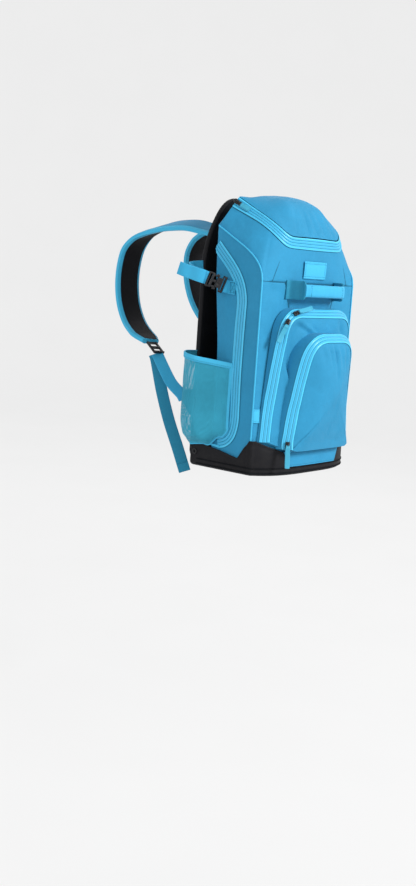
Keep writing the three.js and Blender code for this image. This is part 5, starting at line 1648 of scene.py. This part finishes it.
class BAG_OT_bat_straps(BagOperator, bpy.types.Operator):
    """Make the buckled straps that hold the bats"""
    bl_idname = "bag.bat_straps"
    bl_label = "Bat straps"

    def execute(self, context):
        sewn, sewn_end, front, rear, around, rise = strap_places()
        up = (0, 0, 1)
        web = flat_section(BAT_STRAP_WIDTH, WEB_THICK)
        start = np.array([side_x(106, rise(0)) - 3.6, -106, rise(0) - 1.5])
        path = smooth_path([start, sewn, sewn_end, mix(sewn_end, front, 0.5) + [-0.6, 0, 0], front], 40)
        make = lambda name: swept_piece(name, path, up, web)
        both_sides(make, "bat_strap_sewn", "webbing", MATERIALS["webbing"], "bat_strap_anchor")
        points = [mix(rear, around(200, 0.55), 0.06), around(200, 0.55), around(175, 0.66), around(150, 0.76),
                  around(120, 0.86),
                  around(92, 0.93), (-PANEL_HALF - 1.8, -PANEL_THICK / 2, rise(1))]
        path = smooth_path(points, 110)
        make = lambda name: swept_piece(name, path, up, web)
        both_sides(make, "bat_strap_webbing", "webbing", MATERIALS["webbing"], "bat_strap_loop")
        away = np.array([-0.42, 0.86, 0.26])
        away /= np.linalg.norm(away)
        start = around(214, 0.46, 2.8)
        line = []
        for t in np.linspace(0, 1, 40):
            line.append(start + away * 57 * t
                        + np.array([-3 * math.sin(math.pi * t) - 0.8 * math.sin(3 * math.pi * t), 0, 0]))
        def tail_section(share):
            fold = 2.0 if share > 0.78 else 0.0
            return flat_section(BAT_STRAP_WIDTH, WEB_THICK + fold)
        make = lambda name: swept_piece(name, line, up, tail_section)
        both_sides(make, "bat_strap_end", "webbing", MATERIALS["webbing"], "bat_strap_tail")
        base = np.array([side_x(99, rise(0)) - 3.6 - WEB_THICK, -99, rise(0)])
        box = [(-5.5, -10), (5.5, -10), (5.5, 10), (-5.5, 10), (-5.5, -10), (5.5, 10), (-5.5, 10), (5.5, -10)]
        points = [base + np.array([0.08 * abs(u), u, v - 0.5]) for u, v in box]
        lines = [(np.array(points), np.array([(-1, 0, 0)] * len(points)))]
        thread = stitches("bat_strap_thread", lines + flipped(lines), 2.4, 3.2, 0.8, 0.5, -0.1)
        dressed(thread, "webbing", MATERIALS["teal_thread"])
        both_sides(self.socket, "buckle_socket", "black_plastic", MATERIALS["plastic"], "bat_buckle_socket")
        both_sides(self.plug, "buckle_plug", "black_plastic", MATERIALS["plastic"], "bat_buckle_plug")
        return {"FINISHED"}

    def buckle_place(self, share):
        _, _, front, rear, _, _ = strap_places()
        return mix(front, rear, share), rear - front

    def socket(self, name):
        center, along = self.buckle_place(0.25)
        size = np.linalg.norm(along) * 0.5
        body = hard_block("body", (size, 34, 9), bevel=2.2, segments=3)
        for side in (-1, 1):
            cut(body, hard_block("window", (size * 0.62, 8, 14), (size * 0.24, side * 14.2, 0), 1.6))
        cut(body, hard_block("strap slot", (3.4, 27, 14), (-size * 0.5 + 5, 0, 0), 0.4))
        for face in (-1, 1):
            cut(body, hard_block("recess", (size * 0.42, 11, 2), (size * 0.16, 0, face * 4.8), 0.5))
        rib = hard_block("rib", (size * 0.34, 2.2, 9.6), (size * 0.16, 0, 0), 0.5)
        piece = joined(name, body, rib)
        return set_in_place(piece, center, along, (0, 0, 1))

    def plug(self, name):
        center, along = self.buckle_place(0.75)
        size = np.linalg.norm(along) * 0.5
        bar = hard_block("bar", (size * 0.62, 30, 6.4), (size * 0.19, 0, 0), 1.4, 3)
        cut(bar, hard_block("strap slot", (4.4, 25, 12), (size * 0.24, 0, 0), 0.5))
        prongs = [hard_block("prong", (size * 0.75, 3.4, 4.2), (-size * 0.22, side * 11.2, 0), 1.0)
                  for side in (-1, 1)]
        tips = [hard_block("tip", (size * 0.32, 5.4, 5.0), (-size * 0.5, side * 13.0, 0), 1.3)
                for side in (-1, 1)]
        guide = hard_block("guide", (size * 0.7, 5, 3.6), (-size * 0.25, 0, 0), 1.0)
        piece = joined(name, bar, *prongs, *tips, guide)
        return set_in_place(piece, center, along, (0, 0, 1))


class BAG_OT_handle(BagOperator, bpy.types.Operator):
    """Make the haul handle: sewn webbing ends and a padded grip"""
    bl_idname = "bag.handle"
    bl_label = "Haul handle"

    def execute(self, context):
        foot = front_y(-HANDLE_HALF, HANDLE_Z) - 2.5
        stand = foot - HANDLE_STAND
        path = smooth_path([
            (-HANDLE_HALF - 9, foot, HANDLE_Z), (-HANDLE_HALF, foot, HANDLE_Z),
            (mix(-HANDLE_HALF, -GRIP_HALF, 0.45), mix(foot, stand, 0.4), HANDLE_Z),
            (mix(-HANDLE_HALF, -GRIP_HALF, 0.8), mix(foot, stand, 0.85), HANDLE_Z),
            (-GRIP_HALF - 3, stand - 1, HANDLE_Z), (-GRIP_HALF + 6, stand - 1.5, HANDLE_Z)], 60)

        def leg_section(share):
            width = mix(HANDLE_WIDTH, 25, ramp(0.72, 1, share))
            return flat_section(width, WEB_THICK)
        make = lambda name: swept_piece(name, path, (0, 0, -1), leg_section)
        # The legs take the darker teal, which paints the shade on their outward-turned faces.
        both_sides(make, "handle_webbing", "webbing", MATERIALS["dark_webbing"], "haul_leg")
        grid = sweep_grid(path, (0, 0, -1), leg_section)
        lines = []
        for column, lift in ((2, 0), (6, 0)):
            line = np.array([row[column + 12] for row in grid])
            lines.append((line, np.tile((-0.6, -0.8, 0), (len(line), 1))))
        thread = stitches("handle_thread", lines + flipped(lines), 2.6, 3.6, 0.8, 0.5)
        dressed(thread, "webbing", MATERIALS["teal_thread"])
        line = [(t * (GRIP_HALF + 2), stand - 2 - 4 * (1 - t * t), HANDLE_Z) for t in np.linspace(-1, 1, 120)]

        def grip_section(share):
            end = min(share, 1 - share) * 2 * GRIP_HALF
            full = mix(0.5, 1, ramp(1, 12, end))
            stitched = 1 - 0.16 * bump(end - 13, 1.6)
            wave = 1 + 0.02 * math.sin(share * 60) * ramp(15, 25, end)
            half, thick = 12.6 * (0.96 + 0.04 * stitched), 6.2 * full * stitched * wave
            angles = np.linspace(0, 2 * math.pi, 28, endpoint=False)
            return [(half * math.copysign(abs(math.cos(a)) ** 0.75, math.cos(a)),
                     thick * math.copysign(abs(math.sin(a)) ** 0.85, math.sin(a))) for a in angles]
        grip = swept_piece("handle_grip", line, (0, 0, 1), grip_section, sharp=60)
        dressed(grip, "trim_cloth", MATERIALS["webbing"], "haul_grip")
        seams = []
        for side in (-1, 1):
            x = side * (GRIP_HALF - 11)
            y = stand - 2 - 4 * (1 - (x / (GRIP_HALF + 2)) ** 2) - 5.4
            seams.append(([(x, y, HANDLE_Z + h) for h in np.linspace(-11, 11, 12)],
                          np.tile((0, -1, 0), (12, 1))))
        under = [((x, stand - 6 * (1 - (x / 68) ** 2) + 1.0, HANDLE_Z - 11.5), (0, -0.5, -1))
                 for x in np.linspace(-52, 52, 40)]
        seams.append(([p for p, _ in under], [n for _, n in under]))
        thread = stitches("grip_thread", seams, 2.6, 3.6, 0.8, 0.5)
        dressed(thread, "trim_cloth", MATERIALS["teal_thread"])
        return {"FINISHED"}


def upper_front_y(x, z):
    share = (z - SEAM_FRONT) / (ZIP_FRONT - SEAM_FRONT)
    seam = front_y(x, SEAM_FRONT)
    return mix(seam, front_y(x, ZIP_FRONT), share) - (SHOULDER_BULGE + 1.0) * math.sin(math.pi * share)


def patch_grid(half_at, z_low, z_high, surface, lift, columns=60, rows=26):
    """A patch on the front: rows between two heights, each as wide as half_at gives, lifted off a surface."""
    grid = []
    for r in range(rows):
        v = r / (rows - 1)
        z = mix(z_low, z_high, v)
        half = half_at(z)
        line = []
        for c in range(columns):
            x = mix(-half, half, c / (columns - 1))
            line.append((x, surface(x, z) - lift, z))
        grid.append(line)
    return np.array(grid)


class BAG_OT_patches(BagOperator, bpy.types.Operator):
    """Make the bare label patch, the bare band over the boot and the side tag"""
    bl_idname = "bag.patches"
    bl_label = "Patches and tag"

    def execute(self, context):
        label = patch_grid(lambda z: 38, 397.5, 432.5, upper_front_y, 1.6)
        rim = np.zeros(label.shape[:2])
        for r in range(label.shape[0]):
            for c in range(label.shape[1]):
                edge = min(r * 1.4, (label.shape[0] - 1 - r) * 1.4, c * 1.29, (label.shape[1] - 1 - c) * 1.29)
                rim[r, c] = 0.9 * bump(edge - 1.6, 1.2) + 0.4
        label = raised(label, rim)
        piece = cloth_piece("label_patch_bare", label, wall=1.6)
        dressed(piece, "trim_cloth", MATERIALS["trim"], "label_patch")
        lines = [grid_line(label, 0.13, 0.1), grid_line(label, 0.87, 0.1),
                 grid_line(label, 0.06, 0.1, column=True), grid_line(label, 0.94, 0.1, column=True)]
        half = lambda z: mix(82, 92, (z - 20) / 22)
        band = patch_grid(half, 18.5, 49.5, boot_front_y, 3.0, 120, 20)
        piece = cloth_piece("base_band_bare", band, wall=2.0)
        dressed(piece, "trim_cloth", MATERIALS["body"], "base_band")
        lines += [grid_line(band, 0.1, 0.1), grid_line(band, 0.9, 0.1)]
        inner = BODY_HALF - 1.2
        tag = []
        for t in np.linspace(0, 1, 12):
            z = mix(121 - 13.5, 121 + 13.5, t)
            tag.append([(-inner + s * 13, front_y(-inner + s * 13, z) - 1.4 - 2.4 * math.sin(s * 2.2), z)
                        for s in np.linspace(0, 1, 10)])
        tag = np.array(tag)
        piece = cloth_piece("side_tag_bare", tag, wall=1.6)
        dressed(piece, "trim_cloth", MATERIALS["trim"], "side_tag")
        lines += [grid_line(tag, 0.1, 0.1), grid_line(tag, 0.9, 0.1)]
        thread = stitches("patch_thread", lines, 2.4, 3.4, 0.7, 0.45, 0.05)
        dressed(thread, "trim_cloth", MATERIALS["teal_thread"])
        return {"FINISHED"}


# Harness

STRAP_ROWS = [
    (0, 0.76, 0), (0.006, 0.87, 0), (0.045, 0.94, 0.03), (0.2, 0.98, 0.1), (0.33, 1, 0.16),
              (0.46, 0.997, 0.22),
    (0.6, 0.98, 0.28), (0.77, 0.935, 0.33), (0.885, 0.88, 0.37), (0.97, 0.785, 0.41), (1, 0.65, 0.47),
    (0.985, 0.49, 0.55), (0.92, 0.33, 0.65), (0.8, 0.19, 0.77), (0.65, 0.1, 0.89), (0.53, 0.055, 0.97),
]


def strap_line():
    return [np.array((-mix(STRAP_ROOT, ADJUSTER_HALF, across), 0.6 + reach * STRAP_REACH,
                      mix(ADJUSTER_Z, STRAP_TOP, rise)))
            for reach, rise, across in STRAP_ROWS]


def web_top():
    return np.array((-ADJUSTER_HALF, strap_line()[-1][1] - ADJUSTER_RUN, ADJUSTER_Z - 6.2))


def strap_profile(share, width, binding):
    """The strap's section: a padded middle that thins to bound edges."""
    half = width / 2
    us = np.concatenate([np.linspace(-1, -0.72, 7), np.linspace(-0.68, 0.68, 20), np.linspace(0.72, 1, 7)])
    wave = 0.5 * math.sin(share * 38) + 0.35 * math.sin(share * 71 + 1)

    def thick(u):
        body = 1 - abs(u) ** 5
        bind = 0.7 if abs(u) * half > half - binding else 0.0
        return mix(2.6, STRAP_THICK / 2, body) + bind + wave * (1 - abs(u)) * 0.35
    low = [(u * half, STRAP_THICK / 2 - thick(u)) for u in us]
    high = [(u * half, STRAP_THICK / 2 + thick(u)) for u in us[::-1]]
    return low + high


class BAG_OT_shoulder_straps(BagOperator, bpy.types.Operator):
    """Make the padded shoulder straps with their bound edges"""
    bl_idname = "bag.shoulder_straps"
    bl_label = "Shoulder straps"

    def execute(self, context):
        count = 190
        path = smooth_path(strap_line(), count)
        t = np.linspace(0, 1, count + 1)
        wide = np.stack([np.ones(count + 1), np.zeros(count + 1),
                         0.3 * np.sin(np.pi * np.clip(t * 26 / 15, 0, 1))], axis=1)

        def section(share):
            end = (1 - share) * count
            width = STRAP_WIDTH * math.sqrt(clamp01(0.4 + end / 16))
            return strap_profile(share, width, self.sizes.binding / MM)
        grid = sweep_grid(path, wide, section)
        grid = np.concatenate([grid, grid[:, :1]], axis=1)
        left = cloth_piece("shoulder_strap_pad_left", grid, caps=True, sharp=50)
        columns = grid.shape[1] - 1
        for index, face in enumerate(left.data.polygons):
            c = index % columns
            lower = c < 33
            edge = c < 5 or 28 <= c < 39 or c >= columns - 6
            face.material_index = 1 if edge else (0 if lower else 2)
        right = mirrored_copy(left, "shoulder_strap_pad_right")
        finish = [MATERIALS["pad"], MATERIALS["trim"], MATERIALS["spacer"]]
        for piece, node in ((left, "shoulder_strap_left"), (right, "shoulder_strap_right")):
            dressed(piece, "pad_cloth", finish, node)
        lines = []
        for c in (5, 28):
            line = grid[:-3, c]
            other = grid[:-3, 67 - c]
            out = line - other
            lines.append((line, out / np.linalg.norm(out, axis=1, keepdims=True)))
            lines.append((other, -out / np.linalg.norm(out, axis=1, keepdims=True)))
        thread = stitches("shoulder_strap_thread", lines + flipped(lines), self.sizes.stitch / MM,
                          self.sizes.stitch_pitch / MM)
        dressed(thread, "pad_cloth", MATERIALS["teal_thread"])
        return {"FINISHED"}


def panel_outline(count=200):
    bend = lambda a, b, c, n=16: bent(a, b, c, np.linspace(0, 1, n))
    path = [np.array((0, PANEL_FOOT))]
    path += bend((PANEL_HALF - 14, PANEL_FOOT), (PANEL_HALF, PANEL_FOOT), (PANEL_HALF, PANEL_FOOT + 14))
    path += bend((PANEL_HALF, 420), (PANEL_HALF - 6, mix(420, 505, 0.6)), (121, 505))
    path += bend((121, 505), (mix(121, 62, 0.45), PANEL_TOP), (62, PANEL_TOP))
    path.append(np.array((0, PANEL_TOP)))
    half = resampled(path, count // 2)
    return np.concatenate([half, half[-2:0:-1] * [-1, 1]])


class BAG_OT_back_panel(BagOperator, bpy.types.Operator):
    """Make the padded back panel with its channels and bound rim"""
    bl_idname = "bag.back_panel"
    bl_label = "Back panel"

    def execute(self, context):
        outline = panel_outline()
        middle = np.array([0, (PANEL_FOOT + PANEL_TOP) / 2])
        rows = []
        for share, y in [(0.0, -11.8), (0.5, -11.8), (0.93, -11.8), (0.965, -11.4), (0.985, -10.2),
                         (0.997, -8.0), (1.0, -6.0),
                         (0.997, -4.0), (0.99, -2.6)]:
            row = middle + (outline - middle) * share
            rows.append([(x, y, z) for x, z in row])
        for share in list(np.linspace(0.98, 0.02, 64)) + [0.0]:
            row = middle + (outline - middle) * share
            rows.append([(x, self.pad_y(x, z, share), z) for x, z in row])
        grid = np.array([row + row[:1] for row in rows])
        piece = cloth_piece("back_pad", grid, caps=False, inside=(0, -6, 283), sharp=60)
        painted(piece, lambda x, y, z, normal: 1 if normal[1] > 0.2 else 0)
        dressed(piece, "pad_cloth", [MATERIALS["lining"], MATERIALS["spacer"]], "back_panel")
        rim = np.concatenate([outline, outline[:1]])
        center = np.array([(x, -6.0, z) for x, z in middle + (rim - middle) * 0.992])
        section = [(5.4 * math.cos(a), 3.2 * math.sin(a))
                   for a in np.linspace(0, 2 * math.pi, 12, endpoint=False)]
        binding = swept_piece("back_pad_binding", center, (0, 1, 0), section, caps=False)
        dressed(binding, "trim_cloth", MATERIALS["boot"])
        return {"FINISHED"}

    def pad_y(self, x, z, share):
        """The wearer's side: three columns of pads, with channels between them."""
        edge = ramp(1.0, 0.93, share)
        deep = max(bump(abs(x) - 46, 7), 0.9 * bump(z - 120, 7), 0.9 * bump(z - 270, 7) * (abs(x) > 40),
                   0.9 * bump(z - 430, 7))
        swell = 1.2 * rough(x * 0.02, 1.5, z * 0.02)
        return mix(-3.0, 0.2, edge) - 5.5 * deep * edge + swell * edge * (1 - deep) * 0.5


class BAG_OT_lower_straps(BagOperator, bpy.types.Operator):
    """Make the sewn tabs, the webbing to the adjusters and the hanging tails"""
    bl_idname = "bag.lower_straps"
    bl_label = "Lower straps"

    def execute(self, context):
        root = np.array((-PANEL_HALF - 2.5, 0.6, TAB_Z))
        tip = root + np.array((-3, 21.6, 10.8))
        halves = Curve((0, 30), (0.2, 28), (0.6, 20), (1, WEB_WIDTH / 2 + 1))
        rows = []
        for v in np.linspace(-1, 1, 15):
            line = []
            for t in np.linspace(0, 1, 24):
                spine = mix(root + np.array((0, -4.8, 0)), root,
                            t / 0.25) if t < 0.25 else mix(root, tip, (t - 0.25) / 0.75)
                line.append(spine + np.array((0.6 * math.sin(3 * t), 0, v * halves(t))))
            rows.append(line)
        make = lambda name: cloth_piece(name, np.array(rows), wall=WEB_THICK, inside=(0, 10, 128))
        both_sides(make, "lower_tab_cloth", "body_cloth", MATERIALS["body"], "lower_tab")
        grid = np.array(rows)
        lines = [grid_line(grid, share, 0.0, inside=(0, 10, 128)) for share in (0.1, 0.9)]
        thread = stitches("lower_tab_thread", lines + flipped(lines), 2.6, 3.8, 0.8, 0.5)
        dressed(thread, "body_cloth", MATERIALS["teal_thread"])
        top = web_top()
        away = (top - tip) / np.linalg.norm(top - tip)
        start = tip + away * 2.4
        path = smooth_path([tip - away * 9 + np.array((-1.2, 0, 0)), start,
                            mix(start, top, 0.35) + [-2, 3, -5],
                            mix(start, top, 0.7) + [-1, 2, -3], top, top + away * 6], 80)
        web = flat_section(WEB_WIDTH, WEB_THICK)
        make = lambda name: swept_piece(name, path, (0.75, -0.3, 0.5), web)
        both_sides(make, "lower_strap_webbing", "webbing", MATERIALS["webbing"], "lower_webbing")
        head = top + np.array((0, 6, -6))
        points = [(head[0], mix(head[1], 8, back), mix(head[2], TAIL_END, down)) for down, back in
                  ((0, 0), (0.3, 0.23), (0.56, 0.48), (0.8, 0.77), (1, 1))]
        path = smooth_path([head + np.array((0, 4, 7))] + points, 120)

        def tail_section(share):
            return flat_section(WEB_WIDTH, WEB_THICK + (2.0 if share > 0.93 else 0.0), bow=0.3)
        make = lambda name: swept_piece(name, path, (0.64, -0.76, 0), tail_section)
        both_sides(make, "lower_strap_tail", "webbing", MATERIALS["dark_webbing"], "webbing_tail")
        both_sides(self.adjuster, "strap_adjuster", "black_plastic", MATERIALS["plastic"], "adjuster")
        return {"FINISHED"}

    def adjuster(self, name):
        end = strap_line()[-1]
        along = web_top() - end
        frame_block = hard_block("frame", (34, 30, 4.2), (17, 0, 0), 1.2, 3)
        cut(frame_block, hard_block("slot", (9.5, 21, 9), (9.8, 0, 0), 0.6))
        cut(frame_block, hard_block("slot", (8.5, 22, 9), (24.0, 0, 0), 0.6))
        bar = hard_block("bar", (3.4, 24, 5.2), (17, 0, 0.3), 1.2)
        lip = hard_block("lip", (3.2, 29, 6.4), (32.6, 0, 0.8), 1.3, 3)
        piece = joined(name, frame_block, bar, lip)
        along = along / np.linalg.norm(along)
        wide = np.array([1.0, 0, 0])
        wide -= along * np.dot(wide, along)
        out = np.cross(along, wide / np.linalg.norm(wide))
        center = end + along * 1.2 + out * (STRAP_THICK * 0.35 + 2)
        return set_in_place(piece, center, along, (1, 0, 0))


class BAG_OT_sliders(BagOperator, bpy.types.Operator):
    """Make the zipper sliders and their webbing pulls"""
    bl_idname = "bag.sliders"
    bl_label = "Sliders and pulls"

    def execute(self, context):
        both_sides(lambda name: self.slider(name, *self.lid_place(0.05)), "lid_slider_body", "black_plastic",
                   MATERIALS["plastic"], "lid_slider")
        both_sides(self.lid_pull, "lid_pull_strip", "webbing", MATERIALS["pull"], "lid_pull")
        upper, lower = upper_pocket(), lower_pocket()
        for name, pocket, share in (("upper_slider_one", upper, 0.34), ("upper_slider_two", upper, 0.382),
                                    ("lower_slider", lower, 0.015)):
            center, along, out = pocket.place(share)
            piece = self.slider(f"{name}_body", center + out * 3.3, along, out)
            dressed(piece, "black_plastic", MATERIALS["plastic"], name)
        for name, pocket, share, turn, reach, lift in (
                ("upper_pull_one", upper, 0.33, math.pi * 0.97, 38, 0.3),
                                                       ("upper_pull_two", upper, 0.39, 0, 38, 0.9),
                ("lower_pull", lower, 0.01, math.pi, 44, 0.3)):
            center, along, out = pocket.place(share)
            way = Matrix.Rotation(turn, 3, Vector(out)) @ Vector(along)
            start = center + out * (3.3 + 5 + lift)
            line = [start + np.array(way) * reach * t - out * 1.5 * math.sin(math.pi * t)
                    for t in np.linspace(-0.06, 1, 40)]
            piece = self.pull(f"{name}_strip", line, np.cross(out, np.array(way)))
            dressed(piece, "webbing", MATERIALS["pull"], name)
        return {"FINISHED"}

    def lid_place(self, share):
        center = zip_line(share)
        along = zip_line(share + 0.03) - center
        along /= np.linalg.norm(along)
        up = center - np.array([-BODY_HALF, center[1], seam_z(-center[1])])
        out = np.cross(up, along)
        out /= np.linalg.norm(out)
        out = out if out[0] < 0 else -out
        return center + out * 1.6, along, out

    def slider(self, name, center, along, out):
        body = hard_block("body", (14, 9, 4.4), (0, 0, 1.6), 1.5, 3)
        waist = [hard_block("waist", (5, 3, 9), (2.5, side * 5.2, 1.6), 0.8) for side in (-1, 1)]
        for cutter in waist:
            cut(body, cutter)
        bridge = hard_tube("bridge", 4.0, 0.9, (0, 0, 3.6), (math.pi / 2, 0, 0))
        loop = hard_tube("loop", 3.2, 0.8, (-6.2, 0, 4.6), (0, 0.25, 0), 1.2)
        piece = joined(name, body, bridge, loop)
        return set_in_place(piece, center, along, np.cross(out, along))

    def pull(self, name, line, across):
        """A webbing strip folded on its loop, with a rounded end and a sewn-down edge."""
        def section(share):
            reach = share * 40
            width = mix(7.4, 10,
                        ramp(0, 8,
                             reach)) * math.sqrt(clamp01(1 - max(0.0, (share - 0.97) / 0.03) ** 2 * 0.5))
            thick = 2.2 + 0.8 * bump(reach - 5, 2) + 0.7 * (share > 0.9)
            return flat_section(width, thick, 0.9)
        return swept_piece(name, line, across, section)

    def lid_pull(self, name):
        line = []
        for share in np.linspace(0.1, 0.27, 30):
            center, along, out = self.lid_place(share)
            line.append(center + out * (0.9 + 1.2 * math.sin((share - 0.1) / 0.17 * math.pi)))
        _, along, out = self.lid_place(0.15)
        return self.pull(name, line, np.cross(out, along))


class BAG_OT_stage(BagOperator, bpy.types.Operator):
    """Make the pale floor and backdrop, the soft lights and the camera"""
    bl_idname = "bag.stage"
    bl_label = "Stage"

    def execute(self, context):
        self.cove()
        self.lights(context.scene)
        self.camera(context.scene)
        return {"FINISHED"}

    def cove(self):
        deselect()
        floor = UNDERSIDE - 0.62
        bpy.ops.mesh.primitive_grid_add(x_subdivisions=60, y_subdivisions=60, size=2)
        piece = bpy.context.object
        piece.name = piece.data.name = "backdrop"
        for vertex in piece.data.vertices:
            x, y = vertex.co.x * 9.0, vertex.co.y * 9.0
            away = math.hypot(x, y)
            lift = max(0.0, away - 5.0)
            vertex.co = (x, y, floor + 0.5 * lift ** 2.4)
        material, nodes, shader, place = new_material("pale backdrop", 0.9, specular=0.1)
        grain = nodes.noise(place["Object"], 3.0, 2.0)
        nodes.feed(shader["Base Color"], nodes.blend(grain, (0.15, 0.15, 0.15, 1), (0.17, 0.17, 0.17, 1)))
        shader["Emission Color"].default_value = (1.0, 1.0, 1.0, 1)
        shader["Emission Strength"].default_value = 0.70
        piece.data.materials.append(material)
        only(piece)
        bpy.ops.object.shade_smooth()

    def lights(self, scene):
        world = bpy.data.worlds.new("soft studio")
        scene.world = world
        world.use_nodes = True
        world.node_tree.nodes["Background"].inputs[0].default_value = (0.93, 0.96, 1.0, 1)
        world.node_tree.nodes["Background"].inputs[1].default_value = 0.40
        for name, at, power, size in (("key light", (0.6, -3.2, 1.3), 112, 0.9),
                                      ("fill light", (-3.2, -0.9, 0.5), 17, 1.4),
                                      ("rim light", (2.6, 1.6, 1.8), 30, 1.6)):
            light = bpy.data.lights.new(name, "AREA")
            light.energy = power
            light.size = size
            holder = bpy.data.objects.new(name, light)
            holder.location = at
            holder.rotation_euler = (Vector((0, -0.15, -0.2)) - Vector(at)).to_track_quat("-Z",
                                                                                          "Y").to_euler()
            bpy.context.collection.objects.link(holder)
        scene.view_settings.view_transform = "Standard"
        scene.view_settings.look = "None"

    def camera(self, scene):
        data = bpy.data.cameras.new("photo view")
        data.sensor_width = 36
        data.lens = 48.35
        data.clip_end = 60
        holder = bpy.data.objects.new("photo view", data)
        up = Vector((0.06860, 0.14415, 0.98717))
        back = Vector((-0.76297, -0.62996, 0.14501))
        right = up.cross(back).normalized()
        turn = Matrix((right, up, back)).transposed().to_4x4()
        holder.matrix_world = Matrix.Translation((-2.02589, -1.69906, -0.08134)) @ turn
        bpy.context.collection.objects.link(holder)
        scene.camera = holder


class BAG_PT_panel(bpy.types.Panel):
    """Sidebar list of the bag's pieces"""
    bl_label = "Bat Backpack"
    bl_idname = "BAG_PT_panel"
    bl_space_type = "VIEW_3D"
    bl_region_type = "UI"
    bl_category = "Bat Backpack"

    def draw(self, context):
        for operator in OPERATORS:
            self.layout.operator(operator.bl_idname)
        for group in (context.scene.bag_sizes, context.scene.bag_colours):
            for key in group.bl_rna.properties.keys():
                if key not in {"rna_type", "name"}:
                    self.layout.prop(group, key)


OPERATORS = (
    BAG_OT_materials, BAG_OT_body, BAG_OT_lid, BAG_OT_lid_zipper, BAG_OT_boot, BAG_OT_pockets,
             BAG_OT_side_zippers,
    BAG_OT_seams, BAG_OT_bat_pockets, BAG_OT_bat_straps, BAG_OT_handle, BAG_OT_patches,
             BAG_OT_shoulder_straps,
    BAG_OT_back_panel, BAG_OT_lower_straps, BAG_OT_sliders, BAG_OT_stage,
)
CLASSES = (BAG_PG_sizes, BAG_PG_colours, *OPERATORS, BAG_PT_panel)


def register():
    for item in CLASSES:
        bpy.utils.register_class(item)
    bpy.types.Scene.bag_sizes = bpy.props.PointerProperty(type=BAG_PG_sizes)
    bpy.types.Scene.bag_colours = bpy.props.PointerProperty(type=BAG_PG_colours)


def unregister():
    del bpy.types.Scene.bag_colours
    del bpy.types.Scene.bag_sizes
    for item in reversed(CLASSES):
        bpy.utils.unregister_class(item)


def main():
    register()
    for operator in OPERATORS:
        group, name = operator.bl_idname.split(".")
        getattr(getattr(bpy.ops, group), name)()


if __name__ == "__main__":
    main()
